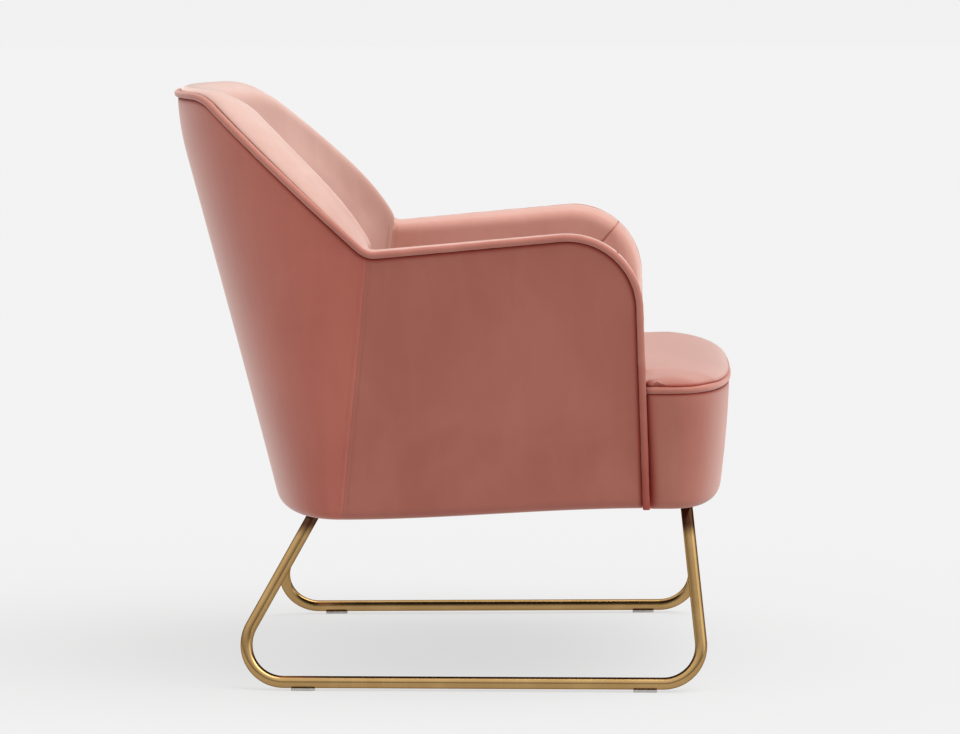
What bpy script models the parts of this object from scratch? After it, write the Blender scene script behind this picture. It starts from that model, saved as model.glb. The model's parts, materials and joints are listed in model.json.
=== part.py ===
"""Upholstered armchair on two sled loops: one raked shell of arms and back round a bow-fronted seat.

Metres, +Z up. The chair faces -Y, and the origin is on the floor under its middle. "left" and
"right" are the sitter's own, so left is +X.
"""

from math import cos, pi, radians, sin, sqrt, tan

import bmesh
import bpy
from mathutils import Matrix, Vector

# Driving dimensions -----------------------------------------------------------------------------

ARM_HALF_WIDTH = 0.346  # outside face of an arm, at the top
ARM_LEAN = 0.011  # how far the face leans in on its way down
FOOT_HALF_WIDTH = ARM_HALF_WIDTH - ARM_LEAN
SHELL_FLOOR = 0.225  # lower edge of the shell, behind
SHELL_FLOOR_FRONT = 0.240  # and at the arm fronts
ARM_FRONT = -0.252  # arm front edge, at the top
ARM_FRONT_LEAN = 0.011  # how far it comes forward on its way down
ARM_FRONT_FOOT = ARM_FRONT - ARM_FRONT_LEAN
ARM_TOP_FRONT = 0.606  # where the arm's top line would meet its front line
ARM_TOP_REAR = 0.5745  # where it meets the wing
WING_FOOT = 0.101  # how far back that is
BACK_TOP = 0.7785  # height of the back's top edge
BACK_RAKE = radians(14.9)
BACK_FOOT = 0.17046  # where the back's raked line comes down to the floor
BACK_TOP_REAR = BACK_FOOT + tan(BACK_RAKE) * BACK_TOP
BACK_EASE_HEIGHT = 0.08  # the back eases upright over this height under its top edge
BACK_EASE_BEND = 1.65
BACK_EASE_REACH = 0.0105  # how far behind the raked line it lies below that
WING_HEAD_STEP = 0.0516  # the wing's line meets the top line this far before the back
WING_HEAD = BACK_TOP_REAR - WING_HEAD_STEP
SEAM_FOOT = 0.137  # where the seam between arm and back meets the lower edge
CORNER_FORM = 2.2  # superellipse exponent of the shell's rear corners
ARM_CORNER = 0.095  # fillets of the edge line: arm front, wing foot, wing head
WING_FOOT_CORNER = 0.030
WING_HEAD_CORNER = 0.050
ARM_THICKNESS = 0.057
BACK_THICKNESS_TOP = 0.046
BACK_THICKNESS_SEAT = 0.105
BACK_FILL_HEIGHT = 0.30  # the back thickens from one to the other over this height
EDGE_DROP = 0.036  # how far down the inner face the rounded edge ends
ARM_CROWN = 0.0075
BACK_CROWN = 0.0125
LOWER_ROLL = 0.013  # radius under the shell's lower edge

NOSE_INSET = 0.008  # the seat's nose is this much narrower than the arms
NOSE_CLEARANCE = 0.004  # between the nose and the arm fronts
NOSE_SIDE = 0.0105  # length of the nose's straight sides
SEAT_HALF_WIDTH = ARM_HALF_WIDTH - NOSE_INSET
SEAT_FRONT = -0.3775
SEAT_NOSE_REAR = ARM_FRONT_FOOT - ARM_CROWN - NOSE_CLEARANCE
SEAT_NOSE_STRAIGHT = SEAT_NOSE_REAR - NOSE_SIDE  # where the nose's sides begin to turn in
SEAT_NOSE_FORM = 3.0
SEAT_WELT_HEIGHT = 0.397
SEAT_CROWN = 0.036
DECK_LEAN = 0.002  # the arms lean out, which leaves this much more room up at the deck
SEAT_DECK_HALF_WIDTH = FOOT_HALF_WIDTH - ARM_THICKNESS + DECK_LEAN
SEAT_REAR = 0.134  # of the seat frame
BAND_TAPER = 0.013
BAND_ROLL = 0.012

RAIL_WIDTH = 0.022
RAIL_HEIGHT = 0.100
RAIL_INSET = 0.019  # from the deck's edge to the middle of a side rail
RAIL_X = SEAT_DECK_HALF_WIDTH - RAIL_INSET
SPRING_COUNT = 4
SPRING_SPACING = 0.118
SPRING_WIRE = 0.0019
SPRING_SWING = 0.021
SPRING_WAVES = 8
BOARD = 0.015  # arm panels and back frame
COVER = 0.0015  # upholstery fabric
WELT_RADIUS = 0.0045
SEAT_WELT_RADIUS = 0.0045

TUBE_RADIUS = 0.008
GLIDE_UNDER = 0.003  # how far the glides lift the tube off the floor
GLIDE_GRIP = 0.0035  # how far they reach up beside it
GLIDE_LENGTH = 0.031
GLIDE_WIDTH = 0.014
RUNNER_INSET = 0.0002  # half the distance between the runners, against the arms, at the front
RUNNER_TOE = 0.0156  # how much nearer each other the runners are at the rear
RUNNER_FRONT_X = ARM_HALF_WIDTH - RUNNER_INSET
RUNNER_REAR_X = RUNNER_FRONT_X - RUNNER_TOE
GLIDE_FRONT_Y = -0.261
GLIDE_REAR_Y = 0.190
BEND_RADIUS = 0.050
PLATE = 0.004
PLATE_IN = 0.019  # how far the leg plates reach either side of the rail's middle
PLATE_OUT = 0.023
PLATE_INNER = RAIL_X - PLATE_IN
PLATE_OUTER = RAIL_X + PLATE_OUT
WELD_MARGIN = 0.004  # of plate outside the welded tube
LEG_TOP_X = PLATE_OUTER - WELD_MARGIN - TUBE_RADIUS
BOLT_RADIUS = 0.003
BOLT_HEAD_RADIUS = 0.0055
BOLT_HEAD = 0.0035
BOLT_LENGTH = 0.034
BOLT_CLEARANCE = 0.0004

GAP = 0.0003  # between pieces that touch
SEAM_GAP = 0.0012  # each side of the seam between arm and back
FACE_GAP = 0.0010  # behind a cover, which bridges the facets of what backs it
PAD_GAP = 0.0025  # between a pad and the cover that turns round its edge
DUST_COVER = 0.0008

PLATE_FLOOR = 0.2400
DUST_FLOOR = PLATE_FLOOR + PLATE + GAP
FRAME_FLOOR = DUST_FLOOR + DUST_COVER + GAP
RAIL_TOP = FRAME_FLOOR + RAIL_HEIGHT
PAD_FLOOR = FRAME_FLOOR + FACE_GAP
BOARD_FLOOR = SHELL_FLOOR_FRONT + LOWER_ROLL + FACE_GAP  # boards start above the rolled-in edge
SEAT_FOAM_FLOOR = RAIL_TOP + 2 * SPRING_WIRE + 2 * GAP
BOARD_DEPTH = COVER + FACE_GAP  # depth of the boards' outer face below the outer cover's
STRAP_DEPTH = BOARD_DEPTH + BOARD + FACE_GAP
STRAP = 0.0015
FOAM_DEPTH = STRAP_DEPTH + STRAP + PAD_GAP
INNER_FACE = 0.5 * ARM_THICKNESS  # layers deeper than this belong to the inner face
EDGE_INSET = WELT_RADIUS + 1.6 * FACE_GAP  # what the covers leave free for the welt

VELVET = ((0.42, 0.135, 0.105), 0.75, 0.0)
BRASS = ((0.60, 0.36, 0.12), 0.28, 1.0)
TIMBER = ((0.55, 0.38, 0.22), 0.70, 0.0)
FOAM = ((0.80, 0.76, 0.62), 0.90, 0.0)
STEEL = ((0.45, 0.45, 0.46), 0.40, 1.0)
WEBBING = ((0.20, 0.16, 0.12), 0.85, 0.0)
NYLON = ((0.35, 0.34, 0.33), 0.55, 0.0)
BLACK_CLOTH = ((0.03, 0.03, 0.03), 0.90, 0.0)


# Scene, objects and materials ------------------------------------------------------------------

for old in list(bpy.data.objects):
    bpy.data.objects.remove(old, do_unlink=True)

chair = bpy.data.collections.new("upholstered_armchair")
cutters = bpy.data.collections.new("cutters")
bpy.context.scene.collection.children.link(chair)
bpy.context.scene.collection.children.link(cutters)


def finish_of(name, look):
    """One Principled material for one sub-part."""
    colour, roughness, metallic = look
    material = bpy.data.materials.new(name)
    material.use_nodes = True
    shader = material.node_tree.nodes["Principled BSDF"]
    shader.inputs["Base Color"].default_value = (*colour, 1.0)
    shader.inputs["Roughness"].default_value = roughness
    shader.inputs["Metallic"].default_value = metallic
    return material


def add_object(name, data, look, collection=chair):
    thing = bpy.data.objects.new(name, data)
    collection.objects.link(thing)
    if look:
        data.materials.append(finish_of(name, look))
    return thing


def add_open(name, shape, look, collection=chair):
    """An object of a mesh whose faces already point the right way."""
    mesh = bpy.data.meshes.new(name)
    shape.to_mesh(mesh)
    shape.free()
    mesh.shade_smooth()
    mesh.set_sharp_from_angle(angle=radians(35))
    return add_object(name, mesh, look, collection)


def add_bmesh(name, shape, look, collection=chair):
    """An object of a closed mesh."""
    bmesh.ops.recalc_face_normals(shape, faces=shape.faces[:])
    return add_open(name, shape, look, collection)


def add_box(name, low, high, look, collection=chair):
    shape = bmesh.new()
    bmesh.ops.create_cube(shape, size=1.0)
    low, high = Vector(low), Vector(high)
    size = high - low
    place = Matrix.Translation((low + high) / 2) @ Matrix.Diagonal((*size, 1.0))
    bmesh.ops.transform(shape, matrix=place, verts=shape.verts[:])
    return add_bmesh(name, shape, look, collection)


def add_cylinder_cutter(name, low, high, radius):
    shape = bmesh.new()
    axis = Vector(high) - Vector(low)
    bmesh.ops.create_cone(
        shape, cap_ends=True, segments=14, radius1=radius, radius2=radius, depth=axis.length
    )
    turn = axis.to_track_quat("Z", "Y").to_matrix().to_4x4()
    place = Matrix.Translation((Vector(low) + Vector(high)) / 2) @ turn
    bmesh.ops.transform(shape, matrix=place, verts=shape.verts[:])
    cutter = add_bmesh(name, shape, None, cutters)
    cutter.hide_render = True
    cutter.display_type = "WIRE"
    return cutter


def cut(thing, cutter):
    boolean = thing.modifiers.new("cut_" + cutter.name, "BOOLEAN")
    boolean.operation = "DIFFERENCE"
    boolean.object = cutter


def thicken(thing, thickness):
    """All the thickness goes behind the surface's face."""
    solid = thing.modifiers.new("thickness", "SOLIDIFY")
    solid.thickness = thickness
    solid.offset = -1.0
    solid.use_even_offset = True


def mirror_x(thing):
    mirror = thing.modifiers.new("mirror", "MIRROR")
    mirror.use_axis = (True, False, False)
    mirror.merge_threshold = 0.0001


def add_tube(name, points, radius, look, resolution=2):
    """A round rod or cord through the points."""
    curve = bpy.data.curves.new(name, "CURVE")
    curve.dimensions = "3D"
    curve.bevel_depth = radius
    curve.bevel_resolution = resolution
    curve.use_fill_caps = True
    spline = curve.splines.new("POLY")
    spline.points.add(len(points) - 1)
    for target, point in zip(spline.points, points):
        target.co = (*point, 1.0)
    return add_object(name, curve, look)


def curve_to_mesh(thing):
    """The curve's solid as a mesh, with its caps welded on, so that it can be cut."""
    graph = bpy.context.evaluated_depsgraph_get()
    mesh = bpy.data.meshes.new_from_object(thing.evaluated_get(graph))
    shape = bmesh.new()
    shape.from_mesh(mesh)
    bmesh.ops.remove_doubles(shape, verts=shape.verts[:], dist=0.00002)
    shape.to_mesh(mesh)
    shape.free()
    solid = bpy.data.objects.new(thing.name, mesh)
    solid.matrix_world = thing.matrix_world
    name = thing.name
    bpy.data.objects.remove(thing, do_unlink=True)
    solid.name = name
    chair.objects.link(solid)
    return solid


# The shell's surfaces --------------------------------------------------------------------------
# A point of the shell is found at a height, on one of two patches: an arm's flat side, or the
# back, which turns from the side seam to the middle as a quarter of a superellipse. Every layer,
# from the outer cover to the inner one, is the same form drawn in by its depth.


def blend(a, b, share):
    return a + (b - a) * share


def smooth_share(value):
    value = min(max(value, 0.0), 1.0)
    return value * value * (3 - 2 * value)


def rounded_path(points, radii, steps=9):
    """A polyline through 2-D points, with an arc of each inner point's radius."""
    path = [Vector(points[0])]
    for before, corner, after, radius in zip(points, points[1:], points[2:], radii):
        corner = Vector(corner)
        back = (Vector(before) - corner).normalized()
        ahead = (Vector(after) - corner).normalized()
        half = back.angle(ahead) / 2
        reach = radius / tan(half)
        centre = corner + (back + ahead).normalized() * (radius / sin(half))
        start = corner + back * reach - centre
        end = corner + ahead * reach - centre
        for step in range(steps + 1):
            share = step / steps
            spoke = start.lerp(end, share).normalized() * radius
            path.append(centre + spoke)
    path.append(Vector(points[-1]))
    return path


def resample(path, count):
    """count + 1 points spaced evenly along a polyline."""
    lengths = [0.0]
    for a, b in zip(path, path[1:]):
        lengths.append(lengths[-1] + (b - a).length)
    found = []
    for step in range(count + 1):
        target = lengths[-1] * step / count
        index = 0
        while index < len(path) - 2 and lengths[index + 1] < target:
            index += 1
        span = lengths[index + 1] - lengths[index]
        share = (target - lengths[index]) / span if span else 0.0
        found.append(path[index].lerp(path[index + 1], share))
    return found


ARC_STEPS = 10
EDGE_OVERRUN = 0.05  # the top line runs on past the back, whose face then cuts it
EDGE_PATH = rounded_path(
    [
        (ARM_FRONT_FOOT, SHELL_FLOOR_FRONT),
        (ARM_FRONT, ARM_TOP_FRONT),
        (WING_FOOT, ARM_TOP_REAR),
        (WING_HEAD, BACK_TOP),
        (BACK_TOP_REAR + EDGE_OVERRUN, BACK_TOP),
    ],
    [ARM_CORNER, WING_FOOT_CORNER, WING_HEAD_CORNER],
    ARC_STEPS,
)
FRONT_TURN = 1 + ARC_STEPS // 2  # middle of the arm's front corner
SEAM_TURN = 2 + ARC_STEPS + ARC_STEPS // 2  # middle of the corner at the wing's foot
SEAM_HEAD, SEAM_TOP = EDGE_PATH[SEAM_TURN]


def edge_height(y):
    """Height of the shell's edge line over y, from the seam to the back."""
    line = EDGE_PATH[SEAM_TURN:]
    for a, b in zip(line, line[1:]):
        if y <= b.x:
            return blend(a.y, b.y, (y - a.x) / (b.x - a.x))
    return line[-1].y


def lower_edge(y):
    """Height of the shell's lower edge over y."""
    share = (y - ARM_FRONT_FOOT) / (SEAM_FOOT - ARM_FRONT_FOOT)
    return blend(SHELL_FLOOR_FRONT, SHELL_FLOOR, smooth_share(share))


def roll_in(above, radius=LOWER_ROLL):
    """How far a face has turned in, at a height above the lower edge."""
    if above >= radius:
        return 0.0
    return radius - sqrt(radius**2 - (radius - max(above, 0.0)) ** 2)


def half_width(z):
    return blend(FOOT_HALF_WIDTH, ARM_HALF_WIDTH, (z - SHELL_FLOOR) / (ARM_TOP_FRONT - SHELL_FLOOR))


def seam_y(z):
    return blend(SEAM_FOOT, SEAM_HEAD, (z - SHELL_FLOOR) / (SEAM_TOP - SHELL_FLOOR))


def back_y(z):
    """The back's outer face in the middle: raked, and easing upright under its top edge."""
    eased = max(z - BACK_TOP + BACK_EASE_HEIGHT, 0.0) ** 2 * BACK_EASE_BEND
    return BACK_FOOT + BACK_EASE_REACH + tan(BACK_RAKE) * z - eased


def back_thickness(z):
    share = smooth_share((BACK_TOP - EDGE_DROP - z) / BACK_FILL_HEIGHT)
    return blend(BACK_THICKNESS_TOP, BACK_THICKNESS_SEAT, share)


def arm_point(y, z, depth):
    """On the arm's side, depth below its outer face."""
    rolled = roll_in(z - lower_edge(y)) if depth < INNER_FACE else 0.0
    return Vector((half_width(z) - depth - rolled, y, z))


def back_point(turn, z, depth, middle_depth=None):
    """On the back: turn runs from 0 at the side seam to 1 in the middle."""
    middle_depth = depth if middle_depth is None else middle_depth
    rolled = roll_in(z - SHELL_FLOOR) if depth < INNER_FACE else 0.0
    across = half_width(z) - depth - rolled
    start = seam_y(z) + SEAM_GAP
    reach = back_y(z) - middle_depth - rolled - start
    angle = turn * pi / 2
    power = 2 / CORNER_FORM
    x = across * max(cos(angle), 0.0) ** power if turn < 1 else 0.0
    return Vector((x, start + reach * sin(angle) ** power, z))


def edge_point(turn):
    """On the back's edge line: the height and the place settle together."""
    z = BACK_TOP
    for _ in range(12):
        z = edge_height(back_point(turn, z, 0.0).y)
    return back_point(turn, z, 0.0)


def edge_drop(turn, drop):
    """The height of a line that runs drop inside the edge line, measured square to it."""
    step = 0.03
    ahead = edge_point(min(turn + step, 1.0)) - edge_point(max(turn - step, 0.0))
    flat = Vector((ahead.x, ahead.y)).length
    return edge_point(turn).z - drop * ahead.length / flat


# Grids over the two patches ---------------------------------------------------------------------

ARM_ROWS = 9
ARM_COLUMNS = 10
BACK_COLUMNS = 20
BACK_ROWS = 9
ROLL_SHARES = (0.0, 0.2, 0.55, 1.0)
ROLL_MARGIN = 0.001  # the rows of the roll reach this far above it


def rise(foot, top, row, rows):
    """Height of a row: the first few follow the roll under the lower edge."""
    rolled = len(ROLL_SHARES) - 1
    height = LOWER_ROLL + ROLL_MARGIN
    if row <= rolled:
        return foot + height * ROLL_SHARES[row]
    return blend(foot + height, top, ((row - rolled) / (rows - rolled)) ** 0.5)


def inset_edge(drop):
    """The arm's edge line from its front foot to the seam, drop inside, as (front, top) halves."""
    line = EDGE_PATH[: SEAM_TURN + 1]
    drawn = []
    for index, point in enumerate(line):
        ahead = line[min(index + 1, len(line) - 1)] - line[max(index - 1, 0)]
        out = Vector((-ahead.y, ahead.x)).normalized()
        drawn.append(point - out * drop)
    front = resample(drawn[: FRONT_TURN + 1], ARM_ROWS)
    top = resample(drawn[FRONT_TURN:], ARM_COLUMNS)
    return front, top


def arm_grid(depth, drop, floor=None):
    """Rows of points over an arm's side, from its lower edge to its edge line."""
    front, top = inset_edge(drop)
    foot = lower_edge(front[0].x) if floor is None else floor
    front[0] = Vector((front[0].x, foot))
    top[-1] = Vector((seam_y(top[-1].y) - SEAM_GAP, top[-1].y))
    left = [Vector(p) for p in front]
    for row in range(len(left)):
        z = rise(foot, front[-1].y, row, ARM_ROWS)
        along = 0
        while along < ARM_ROWS - 1 and front[along + 1].y < z:
            along += 1
        span = front[along + 1].y - front[along].y
        left[row] = front[along].lerp(front[along + 1], (z - front[along].y) / span)
    rear_foot = lower_edge(SEAM_FOOT) if floor is None else floor
    right = []
    for row in range(ARM_ROWS + 1):
        z = rise(rear_foot, top[-1].y, row, ARM_ROWS)
        right.append(Vector((seam_y(z) - SEAM_GAP, z)))
    bottom = []
    for column in range(ARM_COLUMNS + 1):
        y = blend(left[0].x, right[0].x, column / ARM_COLUMNS)
        bottom.append(Vector((y, lower_edge(y) if floor is None else floor)))
    rows = []
    for row in range(ARM_ROWS + 1):
        up = (left[row].y - left[0].y) / (left[-1].y - left[0].y)
        line = []
        for column in range(ARM_COLUMNS + 1):
            on = column / ARM_COLUMNS
            point = left[row] * (1 - on) + right[row] * on
            point += bottom[column] * (1 - up) + top[column] * up
            point -= (bottom[0] * (1 - on) + bottom[-1] * on) * (1 - up)
            point -= (top[0] * (1 - on) + top[-1] * on) * up
            line.append(arm_point(point.x, point.y, depth))
        rows.append(line)
    return rows


def back_grid(depth, drop, floor=None, inner=False):
    """Rows of points over half of the back, from the seam to the middle."""
    foot = SHELL_FLOOR if floor is None else floor
    rows = []
    for row in range(BACK_ROWS + 1):
        line = []
        for column in range(BACK_COLUMNS + 1):
            turn = column / BACK_COLUMNS
            z = rise(foot, edge_drop(turn, drop), row, BACK_ROWS)
            middle = back_thickness(z) + depth - ARM_THICKNESS if inner else depth
            line.append(back_point(turn, z, depth, middle))
        rows.append(line)
    return rows


def back_band(depth, low, high, turns, columns, rows):
    """Rows of points over a band of the back, low and high being functions of the turn."""
    grid = []
    for row in range(rows + 1):
        line = []
        for column in range(columns + 1):
            turn = blend(*turns, column / columns)
            line.append(back_point(turn, blend(low(turn), high(turn), row / rows), depth))
        grid.append(line)
    return grid


# Solids from grids ------------------------------------------------------------------------------

ON_MIRROR = 1e-7  # a point this near the middle plane lies on it


def add_grid_faces(shape, grid):
    verts = [[shape.verts.new(point) for point in line] for line in grid]
    for lower, upper in zip(verts, verts[1:]):
        for column in range(len(lower) - 1):
            shape.faces.new((lower[column], lower[column + 1], upper[column + 1], upper[column]))
    return verts


def border(grid):
    """The grid's outer ring, once round."""
    rows, columns = len(grid), len(grid[0])
    ring = [grid[0][c] for c in range(columns)]
    ring += [grid[r][-1] for r in range(1, rows)]
    ring += [grid[-1][c] for c in range(columns - 2, -1, -1)]
    ring += [grid[r][0] for r in range(rows - 2, 0, -1)]
    return ring


def join_rings(shape, first, second, closed=True):
    count = len(first)
    for index in range(count if closed else count - 1):
        after = (index + 1) % count
        shape.faces.new((first[index], first[after], second[after], second[index]))


def slab(outer, inner, open_side=None):
    """A closed solid between two grids of the same count; open_side leaves the mirror plane open."""
    shape = bmesh.new()
    ring_a = border(add_grid_faces(shape, outer))
    ring_b = border(add_grid_faces(shape, inner))
    count = len(ring_a)
    for index in range(count):
        after = (index + 1) % count
        pair = (ring_a[index], ring_a[after])
        if open_side and all(abs(vert.co.x) < ON_MIRROR for vert in pair):
            continue
        shape.faces.new((*pair, ring_b[after], ring_b[index]))
    return shape


def mirrored(shape, sign):
    if sign < 0:
        bmesh.ops.scale(shape, vec=(-1, 1, 1), verts=shape.verts[:])
    return shape


CROWN_SHARES = ((0.0, 0.0), (0.18, 0.62), (0.42, 1.0), (0.66, 0.78))  # of the width, of the crown
SHOULDER_RADIUS = 0.24  # of the width
SHOULDER_HEIGHT = 0.55  # of the crown
SHOULDER_TURNS = (58, 28, 0)  # degrees


def edge_profile(width, crown, inset=0.0):
    """The rounded edge in section, from the welt across and down, as (inward, outward) pairs.

    inset draws it in everywhere, for what lies under the cover.
    """
    points = [Vector((width * a, crown * b)) for a, b in CROWN_SHARES]
    points[0].x = EDGE_INSET
    radius = width * SHOULDER_RADIUS
    centre = Vector((width - radius, crown * SHOULDER_HEIGHT - radius))
    for angle in SHOULDER_TURNS:
        turn = radians(angle)
        points.append(centre + Vector((cos(turn), sin(turn))) * radius)
    drawn = []
    for index, point in enumerate(points):
        ahead = points[min(index + 1, len(points) - 1)] - points[max(index - 1, 0)]
        normal = Vector((-ahead.y, ahead.x)).normalized()
        drawn.append(point - normal * inset)
    return drawn


def arm_edge_line(floor=None):
    """The arm's edge line on its flat outer face, from the front foot to the seam."""
    line = arm_edge_of(arm_grid(0.0, 0.0, floor))
    return [Vector((half_width(point.z), point.y, point.z)) for point in line]


def arm_edge(inset, floor):
    """Chains over an arm's rounded edge, one for each point of its edge line."""
    line = arm_edge_line(floor)
    profile = edge_profile(ARM_THICKNESS, ARM_CROWN, inset)
    chains = []
    for index, point in enumerate(line):
        ahead = line[min(index + 1, len(line) - 1)] - line[max(index - 1, 0)]
        out = Vector((0.0, -ahead.z, ahead.y)).normalized()
        chain = [point + out * e - Vector((i, 0.0, 0.0)) for i, e in profile]
        if index == len(line) - 1:
            for step in chain:
                step.y = seam_y(step.z) - SEAM_GAP
        chains.append(chain)
    return chains


def back_edge(inset):
    """Chains over the rounded edge of half of the back, from the seam to the middle."""
    line = [edge_point(column / BACK_COLUMNS) for column in range(BACK_COLUMNS + 1)]
    chains = []
    for column, point in enumerate(line):
        turn = column / BACK_COLUMNS
        ahead = line[min(column + 1, BACK_COLUMNS)] - line[max(column - 1, 0)]
        across = back_point(turn, point.z, ARM_THICKNESS, BACK_THICKNESS_TOP) - point
        out = ahead.cross(across)
        out = (out if out.z > 0 else -out).normalized()
        crown = blend(ARM_CROWN, BACK_CROWN, smooth_share(2 * turn))
        profile = edge_profile(across.length, crown, inset)
        inward = across.normalized()
        chain = [point + out * e + inward * i for i, e in profile]
        for step in chain:
            if column == 0:
                step.y = seam_y(step.z) + SEAM_GAP
            if column == BACK_COLUMNS:
                step.x = 0.0
        chains.append(chain)
    return chains


def inner_skin(grid, chains, edge_of):
    """An open cover over the inner face, carried over the rounded edge to the welt."""
    shape = bmesh.new()
    ring = edge_of(add_grid_faces(shape, grid))
    for step in range(len(chains[0]) - 1, -1, -1):
        outer_ring = [shape.verts.new(chain[step]) for chain in chains]
        join_rings(shape, ring, outer_ring, closed=False)
        ring = outer_ring
    return shape


def padding(outer, inner, chains, edge_of, open_side=False):
    """A closed pad between two grids, with chains over the part of its border that edge_of picks."""
    shape = bmesh.new()
    verts_a = add_grid_faces(shape, outer)
    verts_b = add_grid_faces(shape, inner)
    ring_a, ring_b = border(verts_a), border(verts_b)
    edge = {id(vert): chain for vert, chain in zip(edge_of(verts_a), chains)}
    steps = len(chains[0])
    rings = [ring_a]
    for step in range(steps):
        ring = []
        for a, b in zip(ring_a, ring_b):
            place = a.co.lerp(b.co, (step + 1) / (steps + 1))
            ring.append(shape.verts.new(edge[id(a)][step] if id(a) in edge else place))
        rings.append(ring)
    rings.append(ring_b)
    count = len(ring_a)
    for first, second in zip(rings, rings[1:]):
        for index in range(count):
            after = (index + 1) % count
            four = (first[index], first[after], second[after], second[index])
            if open_side and all(abs(vert.co.x) < ON_MIRROR for vert in four):
                continue
            shape.faces.new(four)
    return shape


def arm_edge_of(grid):
    return [row[0] for row in grid] + grid[-1][1:]


def back_edge_of(grid):
    return grid[-1]


# The upholstered shell --------------------------------------------------------------------------

SIDES = (("left", 1), ("right", -1))
BOARD_DROP = 0.008
FOAM_DROP = 0.004
UNDER_COVER = COVER + PAD_GAP


def add_arms():
    for side, sign in SIDES:
        panel = slab(
            arm_grid(BOARD_DEPTH, BOARD_DROP, BOARD_FLOOR),
            arm_grid(BOARD_DEPTH + BOARD, BOARD_DROP, BOARD_FLOOR),
        )
        add_bmesh("arm_panel_" + side, mirrored(panel, sign), TIMBER)

        foam = padding(
            arm_grid(FOAM_DEPTH, FOAM_DROP, PAD_FLOOR),
            arm_grid(ARM_THICKNESS - UNDER_COVER, EDGE_DROP, PAD_FLOOR),
            [chain[2:] for chain in arm_edge(UNDER_COVER, PAD_FLOOR)],
            arm_edge_of,
        )
        add_bmesh("arm_foam_" + side, mirrored(foam, sign), FOAM)

        outer = bmesh.new()
        add_grid_faces(outer, arm_grid(0.0, EDGE_INSET))
        cover = add_open("outside_arm_cover_" + side, outward(mirrored(outer, sign), sign), VELVET)
        thicken(cover, COVER)

        inner = inner_skin(
            arm_grid(ARM_THICKNESS, EDGE_DROP, PAD_FLOOR), arm_edge(0.0, PAD_FLOOR), arm_edge_of
        )
        cover = add_open("inside_arm_cover_" + side, outward(mirrored(inner, sign), -sign), VELVET)
        thicken(cover, COVER)


def outward(shape, sign):
    """Turns an open surface so that most of it faces the given way along X."""
    bmesh.ops.recalc_face_normals(shape, faces=shape.faces[:])
    facing = sum(face.normal.x * face.calc_area() for face in shape.faces)
    if facing * sign < 0:
        bmesh.ops.reverse_faces(shape, faces=shape.faces[:])
    return shape


def rearward(shape, sign):
    bmesh.ops.recalc_face_normals(shape, faces=shape.faces[:])
    facing = sum(face.normal.y * face.calc_area() for face in shape.faces)
    if facing * sign < 0:
        bmesh.ops.reverse_faces(shape, faces=shape.faces[:])
    return shape


POST_TURNS = (0.02, 0.15)
POST_COLUMNS, POST_ROWS = 4, 8
RAIL_TURNS = (0.17, 1.0)
RAIL_COLUMNS = 18
TOP_RAIL_HEIGHT = 0.055
LOW_RAIL_HEIGHT = 0.070
STRAP_TURNS = ((0.36, 0.46), (0.66, 0.78))
STRAP_LAP = 0.030  # how far a strap runs over each rail
STRAP_COLUMNS, STRAP_ROWS = 2, 7


def top_of_board(turn):
    return edge_drop(turn, BOARD_DROP)


def floor_of_board(turn):
    return BOARD_FLOOR


def top_rail_floor(turn):
    return top_of_board(turn) - TOP_RAIL_HEIGHT


def low_rail_top(turn):
    return BOARD_FLOOR + LOW_RAIL_HEIGHT


def strap_floor(turn):
    return low_rail_top(turn) - STRAP_LAP


def strap_top(turn):
    return top_rail_floor(turn) + STRAP_LAP


def add_back():
    board = (BOARD_DEPTH, BOARD_DEPTH + BOARD)
    strap = (STRAP_DEPTH, STRAP_DEPTH + STRAP)

    def layer(depths, low, high, turns, columns, rows):
        return [back_band(depth, low, high, turns, columns, rows) for depth in depths]

    for side, sign in SIDES:
        post = slab(
            *layer(board, floor_of_board, top_of_board, POST_TURNS, POST_COLUMNS, POST_ROWS)
        )
        add_bmesh("back_post_" + side, mirrored(post, sign), TIMBER)
        for number, turns in enumerate(STRAP_TURNS, start=1):
            web = slab(*layer(strap, strap_floor, strap_top, turns, STRAP_COLUMNS, STRAP_ROWS))
            add_bmesh(f"back_strap_{side}_{number}", mirrored(web, sign), WEBBING)

    for name, low, high in (
        ("back_top_rail", top_rail_floor, top_of_board),
        ("back_lower_rail", floor_of_board, low_rail_top),
    ):
        rail = slab(*layer(board, low, high, RAIL_TURNS, RAIL_COLUMNS, 2), open_side=True)
        mirror_x(add_bmesh(name, rail, TIMBER))

    foam = padding(
        back_grid(FOAM_DEPTH, FOAM_DROP, PAD_FLOOR),
        back_grid(ARM_THICKNESS - UNDER_COVER, EDGE_DROP, PAD_FLOOR, inner=True),
        [chain[2:] for chain in back_edge(UNDER_COVER)],
        back_edge_of,
        open_side=True,
    )
    mirror_x(add_bmesh("back_foam", foam, FOAM))

    outer = bmesh.new()
    add_grid_faces(outer, back_grid(0.0, EDGE_INSET))
    cover = add_open("outside_back_cover", rearward(outer, 1), VELVET)
    mirror_x(cover)
    thicken(cover, COVER)

    inner = inner_skin(
        back_grid(ARM_THICKNESS, EDGE_DROP, PAD_FLOOR, inner=True), back_edge(0.0), back_edge_of
    )
    cover = add_open("inside_back_cover", rearward(inner, -1), VELVET)
    mirror_x(cover)
    thicken(cover, COVER)


def add_shell_welt():
    """The cord sewn into the edge seam, from one arm's front foot round the back to the other's."""
    half = arm_edge_line()[:-1]
    half += [edge_point(column / BACK_COLUMNS) for column in range(BACK_COLUMNS + 1)]
    other = [Vector((-point.x, point.y, point.z)) for point in reversed(half[:-1])]
    add_tube("shell_welt", half + other, WELT_RADIUS, VELVET)


# The seat -----------------------------------------------------------------------------------------

NOSE_COLUMNS = 12


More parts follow.
